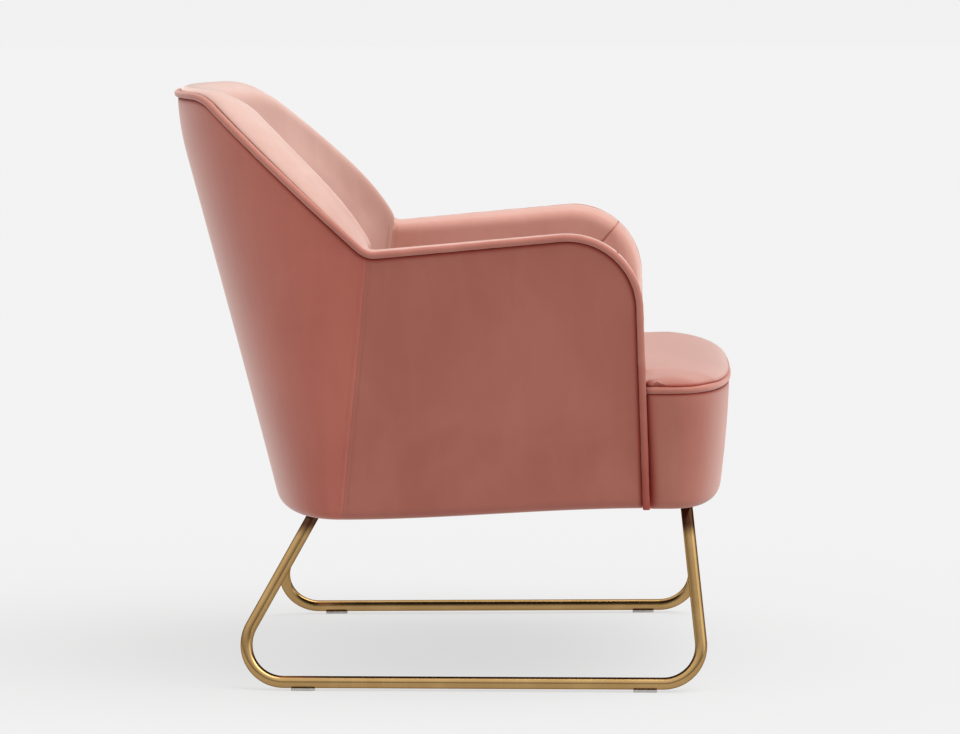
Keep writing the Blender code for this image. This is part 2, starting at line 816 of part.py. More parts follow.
def nose_point(turn, draw=0.0):
    """The nose's plan from one arm's front (turn 0) to the middle (turn 1), drawn in by draw."""
    angle = turn * pi / 2
    power = 2 / SEAT_NOSE_FORM
    x = (SEAT_HALF_WIDTH - draw) * (max(cos(angle), 0.0) ** power if turn < 1 else 0.0)
    reach = SEAT_NOSE_STRAIGHT - SEAT_FRONT - draw
    return Vector((x, SEAT_NOSE_STRAIGHT - reach * sin(angle) ** power, 0.0))


def nose_line(draw, z):
    """The nose's plan at one height, from the arm front round to the middle."""
    line = [Vector((SEAT_HALF_WIDTH - draw, SEAT_NOSE_REAR, z))]
    for step in range(NOSE_COLUMNS + 1):
        point = nose_point(step / NOSE_COLUMNS, draw)
        line.append(Vector((point.x, point.y, z)))
    return line


BAND_TOP = SEAT_WELT_HEIGHT - SEAT_WELT_RADIUS - FACE_GAP
BAND_BELOW = 0.002  # the band hangs this far below the arm fronts
BAND_FLOOR = SHELL_FLOOR_FRONT - BAND_BELOW
BAND_SHARES = (0.0, 0.03, 0.08, 0.16, 0.35, 0.6, 0.8, 1.0)  # close together over the roll


def band_draw(z):
    share = (BAND_TOP - z) / (BAND_TOP - BAND_FLOOR)
    return BAND_TAPER * share**1.5 + roll_in(z - BAND_FLOOR, BAND_ROLL)


def add_band():
    rows = []
    for share in BAND_SHARES:
        z = blend(BAND_FLOOR, BAND_TOP, share)
        rows.append(nose_line(band_draw(z), z))
    shape = bmesh.new()
    add_grid_faces(shape, rows)
    band = add_open("front_band_cover", rearward(shape, -1), VELVET)
    mirror_x(band)
    thicken(band, COVER)


CROWN_REACH = 0.085  # how far back from the nose's edge the crown is full
CROWN_SIDE = 0.06  # and how far in from the nose's sides


def seat_height(x, y, low, crown):
    """The crowned top: full in the middle and rounding down to the nose's edge."""
    front = 0.0
    for step in range(NOSE_COLUMNS):
        a, b = nose_point(step / NOSE_COLUMNS), nose_point((step + 1) / NOSE_COLUMNS)
        if b.x <= x <= a.x:
            front = blend(a.y, b.y, (a.x - x) / (a.x - b.x))
            break
    else:
        front = SEAT_NOSE_STRAIGHT
    away = min(max(y - front, 0.0), CROWN_REACH) / CROWN_REACH
    side = 1.0
    if y < SEAT_NOSE_REAR:
        side = min((SEAT_HALF_WIDTH - x) / CROWN_SIDE, 1.0)
    rise = sqrt(1 - (1 - away) ** 2) * sqrt(max(1 - (1 - max(side, 0.0)) ** 2, 0.0))
    return low + crown * rise


DECK_COLUMNS = 7
DECK_ROWS = 6
EAR_SHARES = (0.4, 0.7, 0.9, 1.0)  # columns of the nose outside the deck
NOSE_SHARES = (0.0, 0.06, 0.15, 0.3, 0.5, 0.75, 1.0)


def seat_plan(draw):
    """Half of the seat's plan as columns of (x, front y), from the middle to the nose's side."""
    deck_edge = SEAT_DECK_HALF_WIDTH - draw
    columns = [deck_edge * step / DECK_COLUMNS for step in range(DECK_COLUMNS + 1)]
    outer = SEAT_HALF_WIDTH - draw
    columns += [blend(deck_edge, outer, share) for share in EAR_SHARES]
    plan = []
    for x in columns:
        share = min(x / outer, 1.0)
        reach = SEAT_NOSE_STRAIGHT - SEAT_FRONT - draw
        drop = (1 - share**SEAT_NOSE_FORM) ** (1 / SEAT_NOSE_FORM)
        plan.append((x, SEAT_NOSE_STRAIGHT - reach * drop))
    return plan


def inner_back_y(x, z, clearance):
    """How far back the seat may reach at x and z, short of the inside back."""
    across = half_width(z) - ARM_THICKNESS - clearance
    start = seam_y(z) + SEAM_GAP - clearance
    reach = back_y(z) - back_thickness(z) - clearance - start
    toward = min(x / across, 1.0) ** CORNER_FORM
    return start + reach * (1 - toward) ** (1 / CORNER_FORM)


def shell_back_y(x, z, depth):
    """How far back the outer shell lies at x and z, depth below its face."""
    across = half_width(z) - depth
    start = seam_y(z) + SEAM_GAP
    reach = back_y(z) - depth - start
    return start + reach * (1 - (x / across) ** CORNER_FORM) ** (1 / CORNER_FORM)


def add_seat_top(name, draw, low, crown, floor, look, clearance):
    """The seat's pad or cover: a crowned top over the T-shaped plan, closed down to its floor."""
    plan = seat_plan(draw)
    nose_rear = SEAT_NOSE_REAR - draw
    shape = bmesh.new()
    verts = []
    for x, front in plan:
        column = []
        for share in NOSE_SHARES:
            y = blend(front, nose_rear, share)
            column.append(shape.verts.new((x, y, seat_height(x, y, low, crown))))
        verts.append(column)
    for left, right in zip(verts, verts[1:]):
        for row in range(len(NOSE_SHARES) - 1):
            shape.faces.new((left[row], right[row], right[row + 1], left[row + 1]))
    deck = [[column[-1]] for column in verts[: DECK_COLUMNS + 1]]
    for step in range(1, DECK_ROWS + 1):
        for column, (x, _) in zip(deck, plan):
            y = blend(nose_rear, inner_back_y(x, low + crown, clearance), step / DECK_ROWS)
            column.append(shape.verts.new((x, y, seat_height(x, y, low, crown))))
    for left, right in zip(deck, deck[1:]):
        for row in range(DECK_ROWS):
            shape.faces.new((left[row], right[row], right[row + 1], left[row + 1]))
    if floor is None:
        bmesh.ops.recalc_face_normals(shape, faces=shape.faces[:])
        if shape.faces[0].normal.z < 0:
            bmesh.ops.reverse_faces(shape, faces=shape.faces[:])
        cover = add_open(name, shape, look)
        mirror_x(cover)
        thicken(cover, COVER)
        return cover
    edges = [edge for edge in shape.edges if edge.is_boundary]
    walls = [edge for edge in edges if any(vert.co.x > ON_MIRROR for vert in edge.verts)]
    made = bmesh.ops.extrude_edge_only(shape, edges=walls)
    skirt = [item for item in made["geom"] if isinstance(item, bmesh.types.BMVert)]
    for vert in skirt:
        vert.co.y = min(vert.co.y, inner_back_y(vert.co.x, floor, clearance))
        vert.co.z = floor
    edges = [edge for edge in shape.edges if edge.is_boundary]
    rim = [edge for edge in edges if all(vert in skirt for vert in edge.verts)]
    ends = [vert for vert in skirt if vert.co.x < ON_MIRROR]
    rim.append(shape.edges.new(ends))
    bmesh.ops.contextual_create(shape, geom=rim)
    pad = add_bmesh(name, shape, look)
    mirror_x(pad)
    return pad


COVER_RISE = 0.0055  # the cover's edge above the middle of the welt
COVER_DRAW = 0.0008
COVER_EASE = 0.006  # the cover's crown is lower by this, since it starts higher
FOAM_SINK = 0.004  # the foam's edge below the middle of the welt


def add_seat():
    foam_edge = SEAT_WELT_HEIGHT - FOAM_SINK
    foam_draw = UNDER_COVER + FACE_GAP
    add_seat_top("seat_foam", foam_draw, foam_edge, SEAT_CROWN, SEAT_FOAM_FLOOR, FOAM, PAD_GAP)
    cover_edge = SEAT_WELT_HEIGHT + COVER_RISE
    cover_crown = SEAT_CROWN - COVER_EASE
    add_seat_top("seat_cover", COVER_DRAW, cover_edge, cover_crown, None, VELVET, FACE_GAP)
    line = nose_line(0.0, SEAT_WELT_HEIGHT)
    other = [Vector((-point.x, point.y, point.z)) for point in reversed(line[:-1])]
    add_tube("seat_welt", line + other, SEAT_WELT_RADIUS, VELVET)


# The seat frame ------------------------------------------------------------------------------------

BAND_BACKING = 0.0045  # between the band's face and the front rail
BLOCK = 0.060
BLOCK_HEIGHT = 0.055
BOW_STEPS = 20
WAVE_STEPS = 6


def nose_y(x, draw=0.0):
    """The front of the nose at x, drawn in by draw."""
    share = min(x / (SEAT_HALF_WIDTH - draw), 1.0)
    reach = SEAT_NOSE_STRAIGHT - SEAT_FRONT - draw
    return SEAT_NOSE_STRAIGHT - reach * (1 - share**SEAT_NOSE_FORM) ** (1 / SEAT_NOSE_FORM)


RAIL_DRAW = BAND_TAPER + BAND_ROLL / 2 + BAND_BACKING
RAIL_OUTER = RAIL_X + RAIL_WIDTH / 2
RAIL_INNER = RAIL_X - RAIL_WIDTH / 2
FRONT_RAIL_REAR = nose_y(RAIL_OUTER, RAIL_DRAW) + RAIL_WIDTH
SIDE_RAIL_FRONT = FRONT_RAIL_REAR + GAP


def plan_solid(outline, low, high):
    """An upright solid over a plan outline."""
    shape = bmesh.new()
    face = shape.faces.new([shape.verts.new((x, y, low)) for x, y in outline])
    made = bmesh.ops.extrude_face_region(shape, geom=[face])
    for item in made["geom"]:
        if isinstance(item, bmesh.types.BMVert):
            item.co.z = high
    return shape


def front_rail_outline():
    """Bowed in front to follow the nose and straight behind."""
    width = 2 * RAIL_OUTER
    across = [width * (step / BOW_STEPS - 0.5) for step in range(BOW_STEPS + 1)]
    bow = [(x, nose_y(abs(x), RAIL_DRAW)) for x in across]
    return bow + [(RAIL_OUTER, FRONT_RAIL_REAR), (-RAIL_OUTER, FRONT_RAIL_REAR)]


def add_frame():
    rail = plan_solid(front_rail_outline(), FRAME_FLOOR, RAIL_TOP)
    add_bmesh("seat_front_rail", rail, TIMBER)
    rear = SEAT_REAR - FACE_GAP
    add_box(
        "seat_rear_rail",
        (-RAIL_INNER + GAP, rear - RAIL_WIDTH, FRAME_FLOOR),
        (RAIL_INNER - GAP, rear, RAIL_TOP),
        TIMBER,
    )
    for side, sign in SIDES:
        ends = sorted((sign * RAIL_INNER, sign * RAIL_OUTER))
        rail = add_box(
            "seat_side_rail_" + side,
            (ends[0], SIDE_RAIL_FRONT, FRAME_FLOOR),
            (ends[1], rear, RAIL_TOP),
            TIMBER,
        )
        for number, place in enumerate(bolt_places(), start=1):
            hole = bolt_hole(f"rail_hole_{side}_{number}", sign, place)
            cut(rail, hole)
        corner = RAIL_INNER - GAP
        front = SIDE_RAIL_FRONT + GAP
        back = rear - RAIL_WIDTH - GAP
        blocks = (
            ("front", [(corner, front), (corner, front + BLOCK), (corner - BLOCK, front)]),
            ("rear", [(corner, back), (corner - BLOCK, back), (corner, back - BLOCK)]),
        )
        for end, outline in blocks:
            turned = [(sign * x, y) for x, y in outline]
            block = plan_solid(turned, FRAME_FLOOR, FRAME_FLOOR + BLOCK_HEIGHT)
            add_bmesh(f"corner_block_{end}_{side}", block, TIMBER)


def add_springs():
    """Sinuous wire springs, front to back over the rails."""
    steps = WAVE_STEPS * SPRING_WAVES
    rear = SEAT_REAR - FACE_GAP - RAIL_WIDTH / 2
    height = RAIL_TOP + GAP + SPRING_WIRE
    front = FRONT_RAIL_REAR - RAIL_WIDTH / 2
    for number in range(SPRING_COUNT):
        middle = SPRING_SPACING * (number - (SPRING_COUNT - 1) / 2)
        points = []
        for step in range(steps + 1):
            share = step / steps
            wave = SPRING_SWING * sin(2 * pi * SPRING_WAVES * share)
            points.append(Vector((middle + wave, blend(front, rear, share), height)))
        add_tube(f"seat_spring_{number + 1}", points, SPRING_WIRE, STEEL, 1)


# The sled base --------------------------------------------------------------------------------------

HEM_CLEARANCE = 0.0011  # between the band's hem and the front plates
PLATE_FRONT = nose_y(PLATE_OUTER, BAND_TAPER + BAND_ROLL + COVER) + HEM_CLEARANCE
FRONT_LEG_STEP = 0.009  # from a plate's end to the middle of its leg
LEG_FRONT_TOP = PLATE_FRONT + FRONT_LEG_STEP
FRONT_LEG_SPREAD = 0.024
RUNNER_FRONT = LEG_FRONT_TOP - FRONT_LEG_SPREAD  # where the runner's line meets the leg's
REAR_LEG_CLEARANCE = 0.0077  # between the rear leg and the rolled edge of the shell
LEG_REAR_TOP = (
    shell_back_y(LEG_TOP_X + TUBE_RADIUS, SHELL_FLOOR, LOWER_ROLL + COVER)
    - TUBE_RADIUS
    - REAR_LEG_CLEARANCE
)
REAR_LEG_SPREAD = 0.1295
RUNNER_REAR = LEG_REAR_TOP + REAR_LEG_SPREAD
FRONT_PLATE = (PLATE_FRONT, PLATE_FRONT + 0.077)  # along Y
REAR_PLATE = (SEAT_REAR - 0.054, LEG_REAR_TOP + 0.020)
FRONT_BOLTS = (PLATE_FRONT + 0.039, PLATE_FRONT + 0.065)
REAR_BOLTS = (SEAT_REAR - 0.042, SEAT_REAR - 0.014)
HOLE_START = 0.01  # the hole cutters start this far under the plates
LEG_OVERRUN = 0.02  # the legs are drawn this far past the plates and cut off there


def bolt_places():
    return FRONT_BOLTS + REAR_BOLTS


def bolt_hole(name, sign, y):
    low = (sign * RAIL_X, y, PLATE_FLOOR - HOLE_START)
    high = (sign * RAIL_X, y, PLATE_FLOOR + BOLT_LENGTH + 2 * BOLT_CLEARANCE)
    return add_cylinder_cutter(name, low, high, BOLT_RADIUS + BOLT_CLEARANCE)


def runner_x(y):
    share = (y - RUNNER_FRONT) / (RUNNER_REAR - RUNNER_FRONT)
    return blend(RUNNER_FRONT_X, RUNNER_REAR_X, share)


def add_loop(side, sign):
    """One bent tube: down from the front plate, along the floor and up to the rear plate."""
    runner_z = GLIDE_UNDER + TUBE_RADIUS
    above = PLATE_FLOOR + LEG_OVERRUN
    corners = [
        Vector((LEG_TOP_X, LEG_FRONT_TOP, PLATE_FLOOR)),
        Vector((RUNNER_FRONT_X, RUNNER_FRONT, runner_z)),
        Vector((RUNNER_REAR_X, RUNNER_REAR, runner_z)),
        Vector((LEG_TOP_X, LEG_REAR_TOP, PLATE_FLOOR)),
    ]
    for end, beside in ((0, 1), (3, 2)):
        leg = corners[end] - corners[beside]
        corners[end] = corners[beside] + leg * ((above - runner_z) / leg.z)
    path = rounded_path(corners, [BEND_RADIUS, BEND_RADIUS], 9)
    path = [Vector((sign * point.x, point.y, point.z)) for point in path]
    tube = curve_to_mesh(add_tube("base_loop_" + side, path, TUBE_RADIUS, BRASS, 4))
    shape = bmesh.new()
    shape.from_mesh(tube.data)
    everything = shape.verts[:] + shape.edges[:] + shape.faces[:]
    level = PLATE_FLOOR - GAP
    made = bmesh.ops.bisect_plane(
        shape, geom=everything, plane_co=(0, 0, level), plane_no=(0, 0, 1), clear_outer=True
    )
    edges = [item for item in made["geom_cut"] if isinstance(item, bmesh.types.BMEdge)]
    bmesh.ops.holes_fill(shape, edges=edges)
    bmesh.ops.recalc_face_normals(shape, faces=shape.faces[:])
    shape.to_mesh(tube.data)
    shape.free()
    tube.data.shade_smooth()
    tube.data.set_sharp_from_angle(angle=radians(35))


def add_glide(name, sign, y):
    """A nylon foot with a saddle that the runner sits in."""
    x = sign * runner_x(y)
    saddle = TUBE_RADIUS + GAP
    centre = GLIDE_UNDER + TUBE_RADIUS
    half = GLIDE_WIDTH / 2
    glide = add_box(
        name,
        (x - half, y - GLIDE_LENGTH / 2, 0.0),
        (x + half, y + GLIDE_LENGTH / 2, GLIDE_UNDER + GLIDE_GRIP),
        NYLON,
    )
    ends = [(sign * runner_x(y + d), y + d, centre) for d in (-GLIDE_LENGTH, GLIDE_LENGTH)]
    cut(glide, add_cylinder_cutter(name + "_saddle", *ends, saddle))


def add_bolt(name, sign, y):
    """A button-headed bolt: up through the plate into the side rail."""
    head_top = PLATE_FLOOR - GAP
    profile = [
        (0.0, head_top + BOLT_LENGTH),
        (BOLT_RADIUS, head_top + BOLT_LENGTH),
        (BOLT_RADIUS, head_top),
        (BOLT_HEAD_RADIUS, head_top),
        (BOLT_HEAD_RADIUS, head_top - 0.4 * BOLT_HEAD),
        (0.7 * BOLT_HEAD_RADIUS, head_top - BOLT_HEAD),
        (0.0, head_top - BOLT_HEAD),
    ]
    mesh = bpy.data.meshes.new(name)
    points = [(r, 0.0, z) for r, z in profile]
    mesh.from_pydata(points, [(a, a + 1) for a in range(len(points) - 1)], [])
    bolt = add_object(name, mesh, STEEL)
    bolt.location = (sign * RAIL_X, y, 0.0)
    turned = bolt.modifiers.new("turned", "SCREW")
    turned.steps = 12
    turned.render_steps = 12
    turned.use_merge_vertices = True
    turned.merge_threshold = 0.00005


def add_base():
    for side, sign in SIDES:
        add_loop(side, sign)
        for end, span, y in (("front", FRONT_PLATE, GLIDE_FRONT_Y), ("rear", REAR_PLATE, GLIDE_REAR_Y)):
            add_glide(f"glide_{end}_{side}", sign, y)
            reach = sorted((sign * PLATE_INNER, sign * PLATE_OUTER))
            plate = add_box(
                f"leg_plate_{end}_{side}",
                (reach[0], span[0], PLATE_FLOOR),
                (reach[1], span[1], PLATE_FLOOR + PLATE),
                STEEL,
            )
            places = FRONT_BOLTS if end == "front" else REAR_BOLTS
            for number, place in enumerate(places, start=1):
                cut(plate, bolt_hole(f"plate_hole_{end}_{side}_{number}", sign, place))
                add_bolt(f"leg_bolt_{end}_{side}_{number}", sign, place)


DUST_COVER_INSET = 0.024
DUST_STEPS = 12


def add_dust_cover():
    """A thin black cloth closing the underside, pierced by the leg bolts."""
    nose_draw = DUST_COVER_INSET + BAND_TAPER
    shares = [step / DUST_STEPS for step in range(DUST_STEPS + 1)]
    half = [nose_point(share, nose_draw) for share in reversed(shares)]
    half += [back_point(share, DUST_FLOOR, DUST_COVER_INSET) for share in shares]
    outline = [(point.x, point.y) for point in half]
    outline += [(-x, y) for x, y in reversed(outline[1:-1])]
    sheet = plan_solid(outline, DUST_FLOOR, DUST_FLOOR + DUST_COVER)
    cloth = add_bmesh("dust_cover", sheet, BLACK_CLOTH)
    for side, sign in SIDES:
        for number, place in enumerate(bolt_places(), start=1):
            cut(cloth, bolt_hole(f"cloth_hole_{side}_{number}", sign, place))


add_arms()
add_back()
add_shell_welt()
add_band()
add_seat()
add_frame()
add_springs()
add_base()
add_dust_cover()
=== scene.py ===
# %% [markdown]
# # A velvet armchair on two brass loops
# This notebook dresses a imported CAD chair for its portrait. The CAD model is the skeleton: its
# boards, springs, rails and bolts are exact, and its soft parts are plain stand-ins. Here each
# soft part is sewn again as a real upholsterer would see it, with padding that pushes against
# its cover, cord sewn into the seams, thread in the stitches and a pile that catches the light.
# Every piece stays in the CAD model's own frame, in metres: the chair faces -Y and stands on
# the floor under the origin, so nothing ever has to be fitted.

import json
from math import cos, exp, hypot, pi, radians, sin, sqrt, tan

import bmesh
import bpy
import numpy as np
from mathutils import Matrix, Vector
from mathutils.bvhtree import BVHTree
from mathutils.kdtree import KDTree


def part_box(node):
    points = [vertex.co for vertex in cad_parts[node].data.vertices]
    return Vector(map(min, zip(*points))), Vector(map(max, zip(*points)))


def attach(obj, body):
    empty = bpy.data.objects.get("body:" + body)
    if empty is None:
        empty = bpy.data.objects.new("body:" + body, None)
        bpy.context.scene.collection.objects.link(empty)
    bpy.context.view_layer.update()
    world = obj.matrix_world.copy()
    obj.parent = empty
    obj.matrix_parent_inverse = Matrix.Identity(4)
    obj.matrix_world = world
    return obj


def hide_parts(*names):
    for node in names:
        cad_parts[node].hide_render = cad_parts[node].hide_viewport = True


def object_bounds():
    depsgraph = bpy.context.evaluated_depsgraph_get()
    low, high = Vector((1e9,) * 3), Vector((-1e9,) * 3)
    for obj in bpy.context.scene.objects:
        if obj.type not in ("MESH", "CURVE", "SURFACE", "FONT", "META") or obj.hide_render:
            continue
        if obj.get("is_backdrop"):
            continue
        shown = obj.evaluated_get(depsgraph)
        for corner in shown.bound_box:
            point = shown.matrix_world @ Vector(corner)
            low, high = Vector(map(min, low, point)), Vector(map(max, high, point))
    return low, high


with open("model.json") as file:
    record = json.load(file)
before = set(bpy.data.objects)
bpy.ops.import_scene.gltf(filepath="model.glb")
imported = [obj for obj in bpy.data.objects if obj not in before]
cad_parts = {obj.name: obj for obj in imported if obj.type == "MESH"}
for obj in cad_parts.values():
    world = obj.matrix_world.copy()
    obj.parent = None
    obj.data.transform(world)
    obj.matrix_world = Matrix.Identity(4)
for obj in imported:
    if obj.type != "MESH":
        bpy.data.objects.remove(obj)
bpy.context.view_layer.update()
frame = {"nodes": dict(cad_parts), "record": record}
SLOTS = {entry["slot"] for entry in frame["record"]["materials"]}
print("nodes:", len(frame["nodes"]), "slots:", sorted(SLOTS))

# %% [markdown]
# ## The studio
# The studio is meant to have no horizon: floor and backdrop melt into one tone. A plain floor
# gets the same light everywhere only if no lamp is near it, so the light comes from suns, which
# have no place, and from the world. The floor also glows a little by itself, which keeps it
# white without lighting the chair more, and the backdrop that the camera sees is set to match
# it. Only the chair's own soft shadow is left to draw the ground.

# %% Camera
scene = bpy.context.scene
scene.view_settings.view_transform = "Standard"

CAMERA_PLACE = Vector((-5.914, -0.2385, 0.9645))
CAMERA_YAW, CAMERA_PITCH, CAMERA_ROLL = 0.0345, 0.0958, -0.0053

lens = bpy.data.cameras.new("portrait_lens")
lens.lens = 160.87
lens.sensor_width = 36.0
lens.clip_end = 200.0
camera = bpy.data.objects.new("portrait_camera", lens)
scene.collection.objects.link(camera)
scene.camera = camera

flat_reach = cos(CAMERA_PITCH)
ahead = Vector((cos(CAMERA_YAW) * flat_reach, sin(CAMERA_YAW) * flat_reach, -sin(CAMERA_PITCH)))
level = ahead.cross(Vector((0, 0, 1))).normalized()
upright = level.cross(ahead)
right = cos(CAMERA_ROLL) * level + sin(CAMERA_ROLL) * upright
up = cos(CAMERA_ROLL) * upright - sin(CAMERA_ROLL) * level
turned = Matrix((right, up, -ahead)).transposed().to_4x4()
camera.matrix_world = Matrix.Translation(CAMERA_PLACE) @ turned
print("camera stands", round(CAMERA_PLACE.length, 2), "m away")

# %% [markdown]
# ## Writing shaders as sums
# A material is a network of small nodes. Wiring them one by one hides the idea, so a tiny
# class stands for a node's output and lets Python's own + - * / make the Math nodes. Anything
# that isn't plain arithmetic goes through one method, which takes the node's type, its
# settings and what to plug into it.

# %% Shader helper
class Wire:
    """A node's output that can be added, multiplied and so on."""

    def __init__(self, paint, socket):
        self.paint = paint
        self.socket = socket

    def math(self, operation, *others, clamp=False):
        values = {number: other for number, other in enumerate((self, *others))}
        settings = {"operation": operation, "use_clamp": clamp}
        return self.paint.node("ShaderNodeMath", settings, values)

    def __add__(self, other):
        return self.math("ADD", other)

    def __sub__(self, other):
        return self.math("SUBTRACT", other)

    def __mul__(self, other):
        return self.math("MULTIPLY", other)

    def __truediv__(self, other):
        return self.math("DIVIDE", other)

    def __rsub__(self, other):
        return self * -1.0 + other

    __radd__ = __add__
    __rmul__ = __mul__

    def power(self, exponent):
        return self.math("POWER", exponent)

    def between(self, low, high):
        """0 below low, 1 above high, and smooth in between."""
        values = {"Value": self, "From Min": low, "From Max": high}
        return self.paint.node("ShaderNodeMapRange", {"interpolation_type": "SMOOTHSTEP"}, values)


class Paint:
    """One material with a Principled shader, or the world's own tree."""

    def __init__(self, owner):
        owner.use_nodes = True
        self.owner = owner
        self.tree = owner.node_tree
        self.shader = self.tree.nodes.get("Principled BSDF")

    def plug(self, socket, value):
        if isinstance(value, Wire):
            self.tree.links.new(value.socket, socket)
        else:
            socket.default_value = value

    def node(self, kind, settings=None, values=None, out=0):
        made = self.tree.nodes.new(kind)
        for name, value in (settings or {}).items():
            if name == "stops":
                ramp = made.color_ramp
                while len(ramp.elements) < len(value):
                    ramp.elements.new(0.5)
                for element, (place, colour) in zip(ramp.elements, value):
                    element.position = place
                    element.color = (*colour, 1.0)
            else:
                setattr(made, name, value)
        for name, value in (values or {}).items():
            self.plug(made.inputs[name], value)
        return Wire(self, made.outputs[out])

    def mix(self, share, first, second, blend="MIX"):
        """A colour between two colours."""
        settings = {"data_type": "RGBA", "blend_type": blend}
        first, second = (
            colour if isinstance(colour, Wire) else (*colour, 1.0) for colour in (first, second)
        )
        return self.node("ShaderNodeMix", settings, {0: share, 6: first, 7: second}, out=2)

    def noise(self, where, scale, detail=2.0, roughness=0.5, distortion=0.0):
        values = {"Vector": where, "Scale": scale, "Detail": detail}
        values |= {"Roughness": roughness, "Distortion": distortion}
        return self.node("ShaderNodeTexNoise", {}, values, out="Fac")

    def stretched(self, where, scale, turn=(0.0, 0.0, 0.0)):
        return self.node("ShaderNodeMapping", {}, {"Vector": where, "Scale": scale, "Rotation": turn})

    def on_object(self):
        return self.node("ShaderNodeTexCoord", out="Object")

    def bump(self, height, strength, distance):
        values = {"Height": height, "Strength": strength, "Distance": distance}
        self.finish(Normal=self.node("ShaderNodeBump", {}, values))

    def under(self, share, **values):
        """Mixes in a second, plain shader by a share."""
        plain = self.tree.nodes.new("ShaderNodeBsdfPrincipled")
        for name, value in values.items():
            self.plug(plain.inputs[name.replace("_", " ")], value)
        mixed = self.tree.nodes.new("ShaderNodeMixShader")
        self.plug(mixed.inputs[0], share)
        self.tree.links.new(self.shader.outputs[0], mixed.inputs[1])
        self.tree.links.new(plain.outputs[0], mixed.inputs[2])
        self.tree.links.new(mixed.outputs[0], self.tree.nodes["Material Output"].inputs["Surface"])

    def finish(self, **values):
        """Plugs the shader's own sockets; an underscore stands for a space."""
        for name, value in values.items():
            self.plug(self.shader.inputs[name.replace("_", " ")], value)


def new_paint(name):
    return Paint(bpy.data.materials.new(name))


print("shader helper ready")

# %% [markdown]
# ## Light
# The studio's light is a great soft box overhead and pale walls around. In Blender the world's
# strength can depend on direction: bright above, dimmer level with the floor, and dimmest to the
# chair's left and right. Brass mirrors that sky, which is where its light and dark bands come
# from. The camera itself is shown one even tone instead, through the Light Path node, so that
# the background stays plain.

# %% Sky, suns and floor
BACKDROP = 0.885
FLOOR_TONE, FLOOR_GLOW = 0.15, 0.637
WALL_LIGHT, CEILING_LIGHT, SIDE_LOSS = 0.42, 0.80, 0.20

world = bpy.data.worlds.new("studio")
scene.world = world
sky = Paint(world)
direction = sky.node("ShaderNodeTexCoord", out="Generated")
parts = sky.tree.nodes.new("ShaderNodeSeparateXYZ")
sky.plug(parts.inputs[0], direction)
across, height = (Wire(sky, parts.outputs[axis]) for axis in "XZ")
ceiling = height.between(0.0, 0.75)
sides = across.math("ABSOLUTE").between(0.1, 0.95)
glow = WALL_LIGHT + ceiling * CEILING_LIGHT - sides * SIDE_LOSS * (1.0 - ceiling)
seen = sky.node("ShaderNodeLightPath", out="Is Camera Ray")
strength = glow * (1.0 - seen) + BACKDROP * seen
background = sky.tree.nodes["Background"]
sky.plug(background.inputs["Color"], (1.0, 1.0, 1.0, 1.0))
sky.plug(background.inputs["Strength"], strength)


def add_sun(name, towards, energy, softness):
    lamp = bpy.data.lights.new(name, "SUN")
    lamp.energy = energy
    lamp.angle = softness
    sun = bpy.data.objects.new(name, lamp)
    sun.rotation_mode = "QUATERNION"
    sun.rotation_quaternion = Vector(towards).to_track_quat("-Z", "Y")
    scene.collection.objects.link(sun)


add_sun("overhead_softbox", (0.06, 0.46, -0.90), 2.1, radians(55))
add_sun("front_softbox", (0.30, 0.90, -0.45), 0.35, radians(45))

floor_mesh = bpy.data.meshes.new("studio_floor")
REACH = 40.0
floor_mesh.from_pydata(
    [(-REACH, -REACH, 0), (REACH, -REACH, 0), (REACH, REACH, 0), (-REACH, REACH, 0)], [], [(0, 1, 2, 3)]
)
floor = bpy.data.objects.new("studio_floor", floor_mesh)
scene.collection.objects.link(floor)
paint = new_paint("white_floor")
paint.finish(Base_Color=(FLOOR_TONE,) * 3 + (1.0,), Roughness=0.9, Specular_IOR_Level=0.0)
paint.finish(Emission_Color=(1.0, 1.0, 1.0, 1.0), Emission_Strength=FLOOR_GLOW)
floor_mesh.materials.append(paint.owner)
floor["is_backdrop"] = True

# %% [markdown]
# ## Velvet
# Velvet is a forest of short upright threads. Looked at from above it is deep and dark, and
# looked at along its surface it turns pale, because the threads' sides catch the light. The
# Principled shader has a sheen layer for just this. Where a hand has brushed the pile it leans
# another way and the tone shifts, so broad soft clouds of a lighter and a redder rose go
# through the colour, and a very fine grain goes into the bump. Each cover's velvet also has its
# own lift, three factors on its red, green and blue, which paint in how brightly that part is lit:
# the insides of the arms and the back, the seat and the welts are painted paler and cooler.

# %% Velvet
ROSE_DEEP = (0.335, 0.104, 0.078)
ROSE = (0.375, 0.126, 0.096)
ROSE_PALE = (0.44, 0.170, 0.130)
# The deep colour that painted shade in the creases darkens the velvet towards.
CREASE_SHADE = (0.270, 0.046, 0.032)


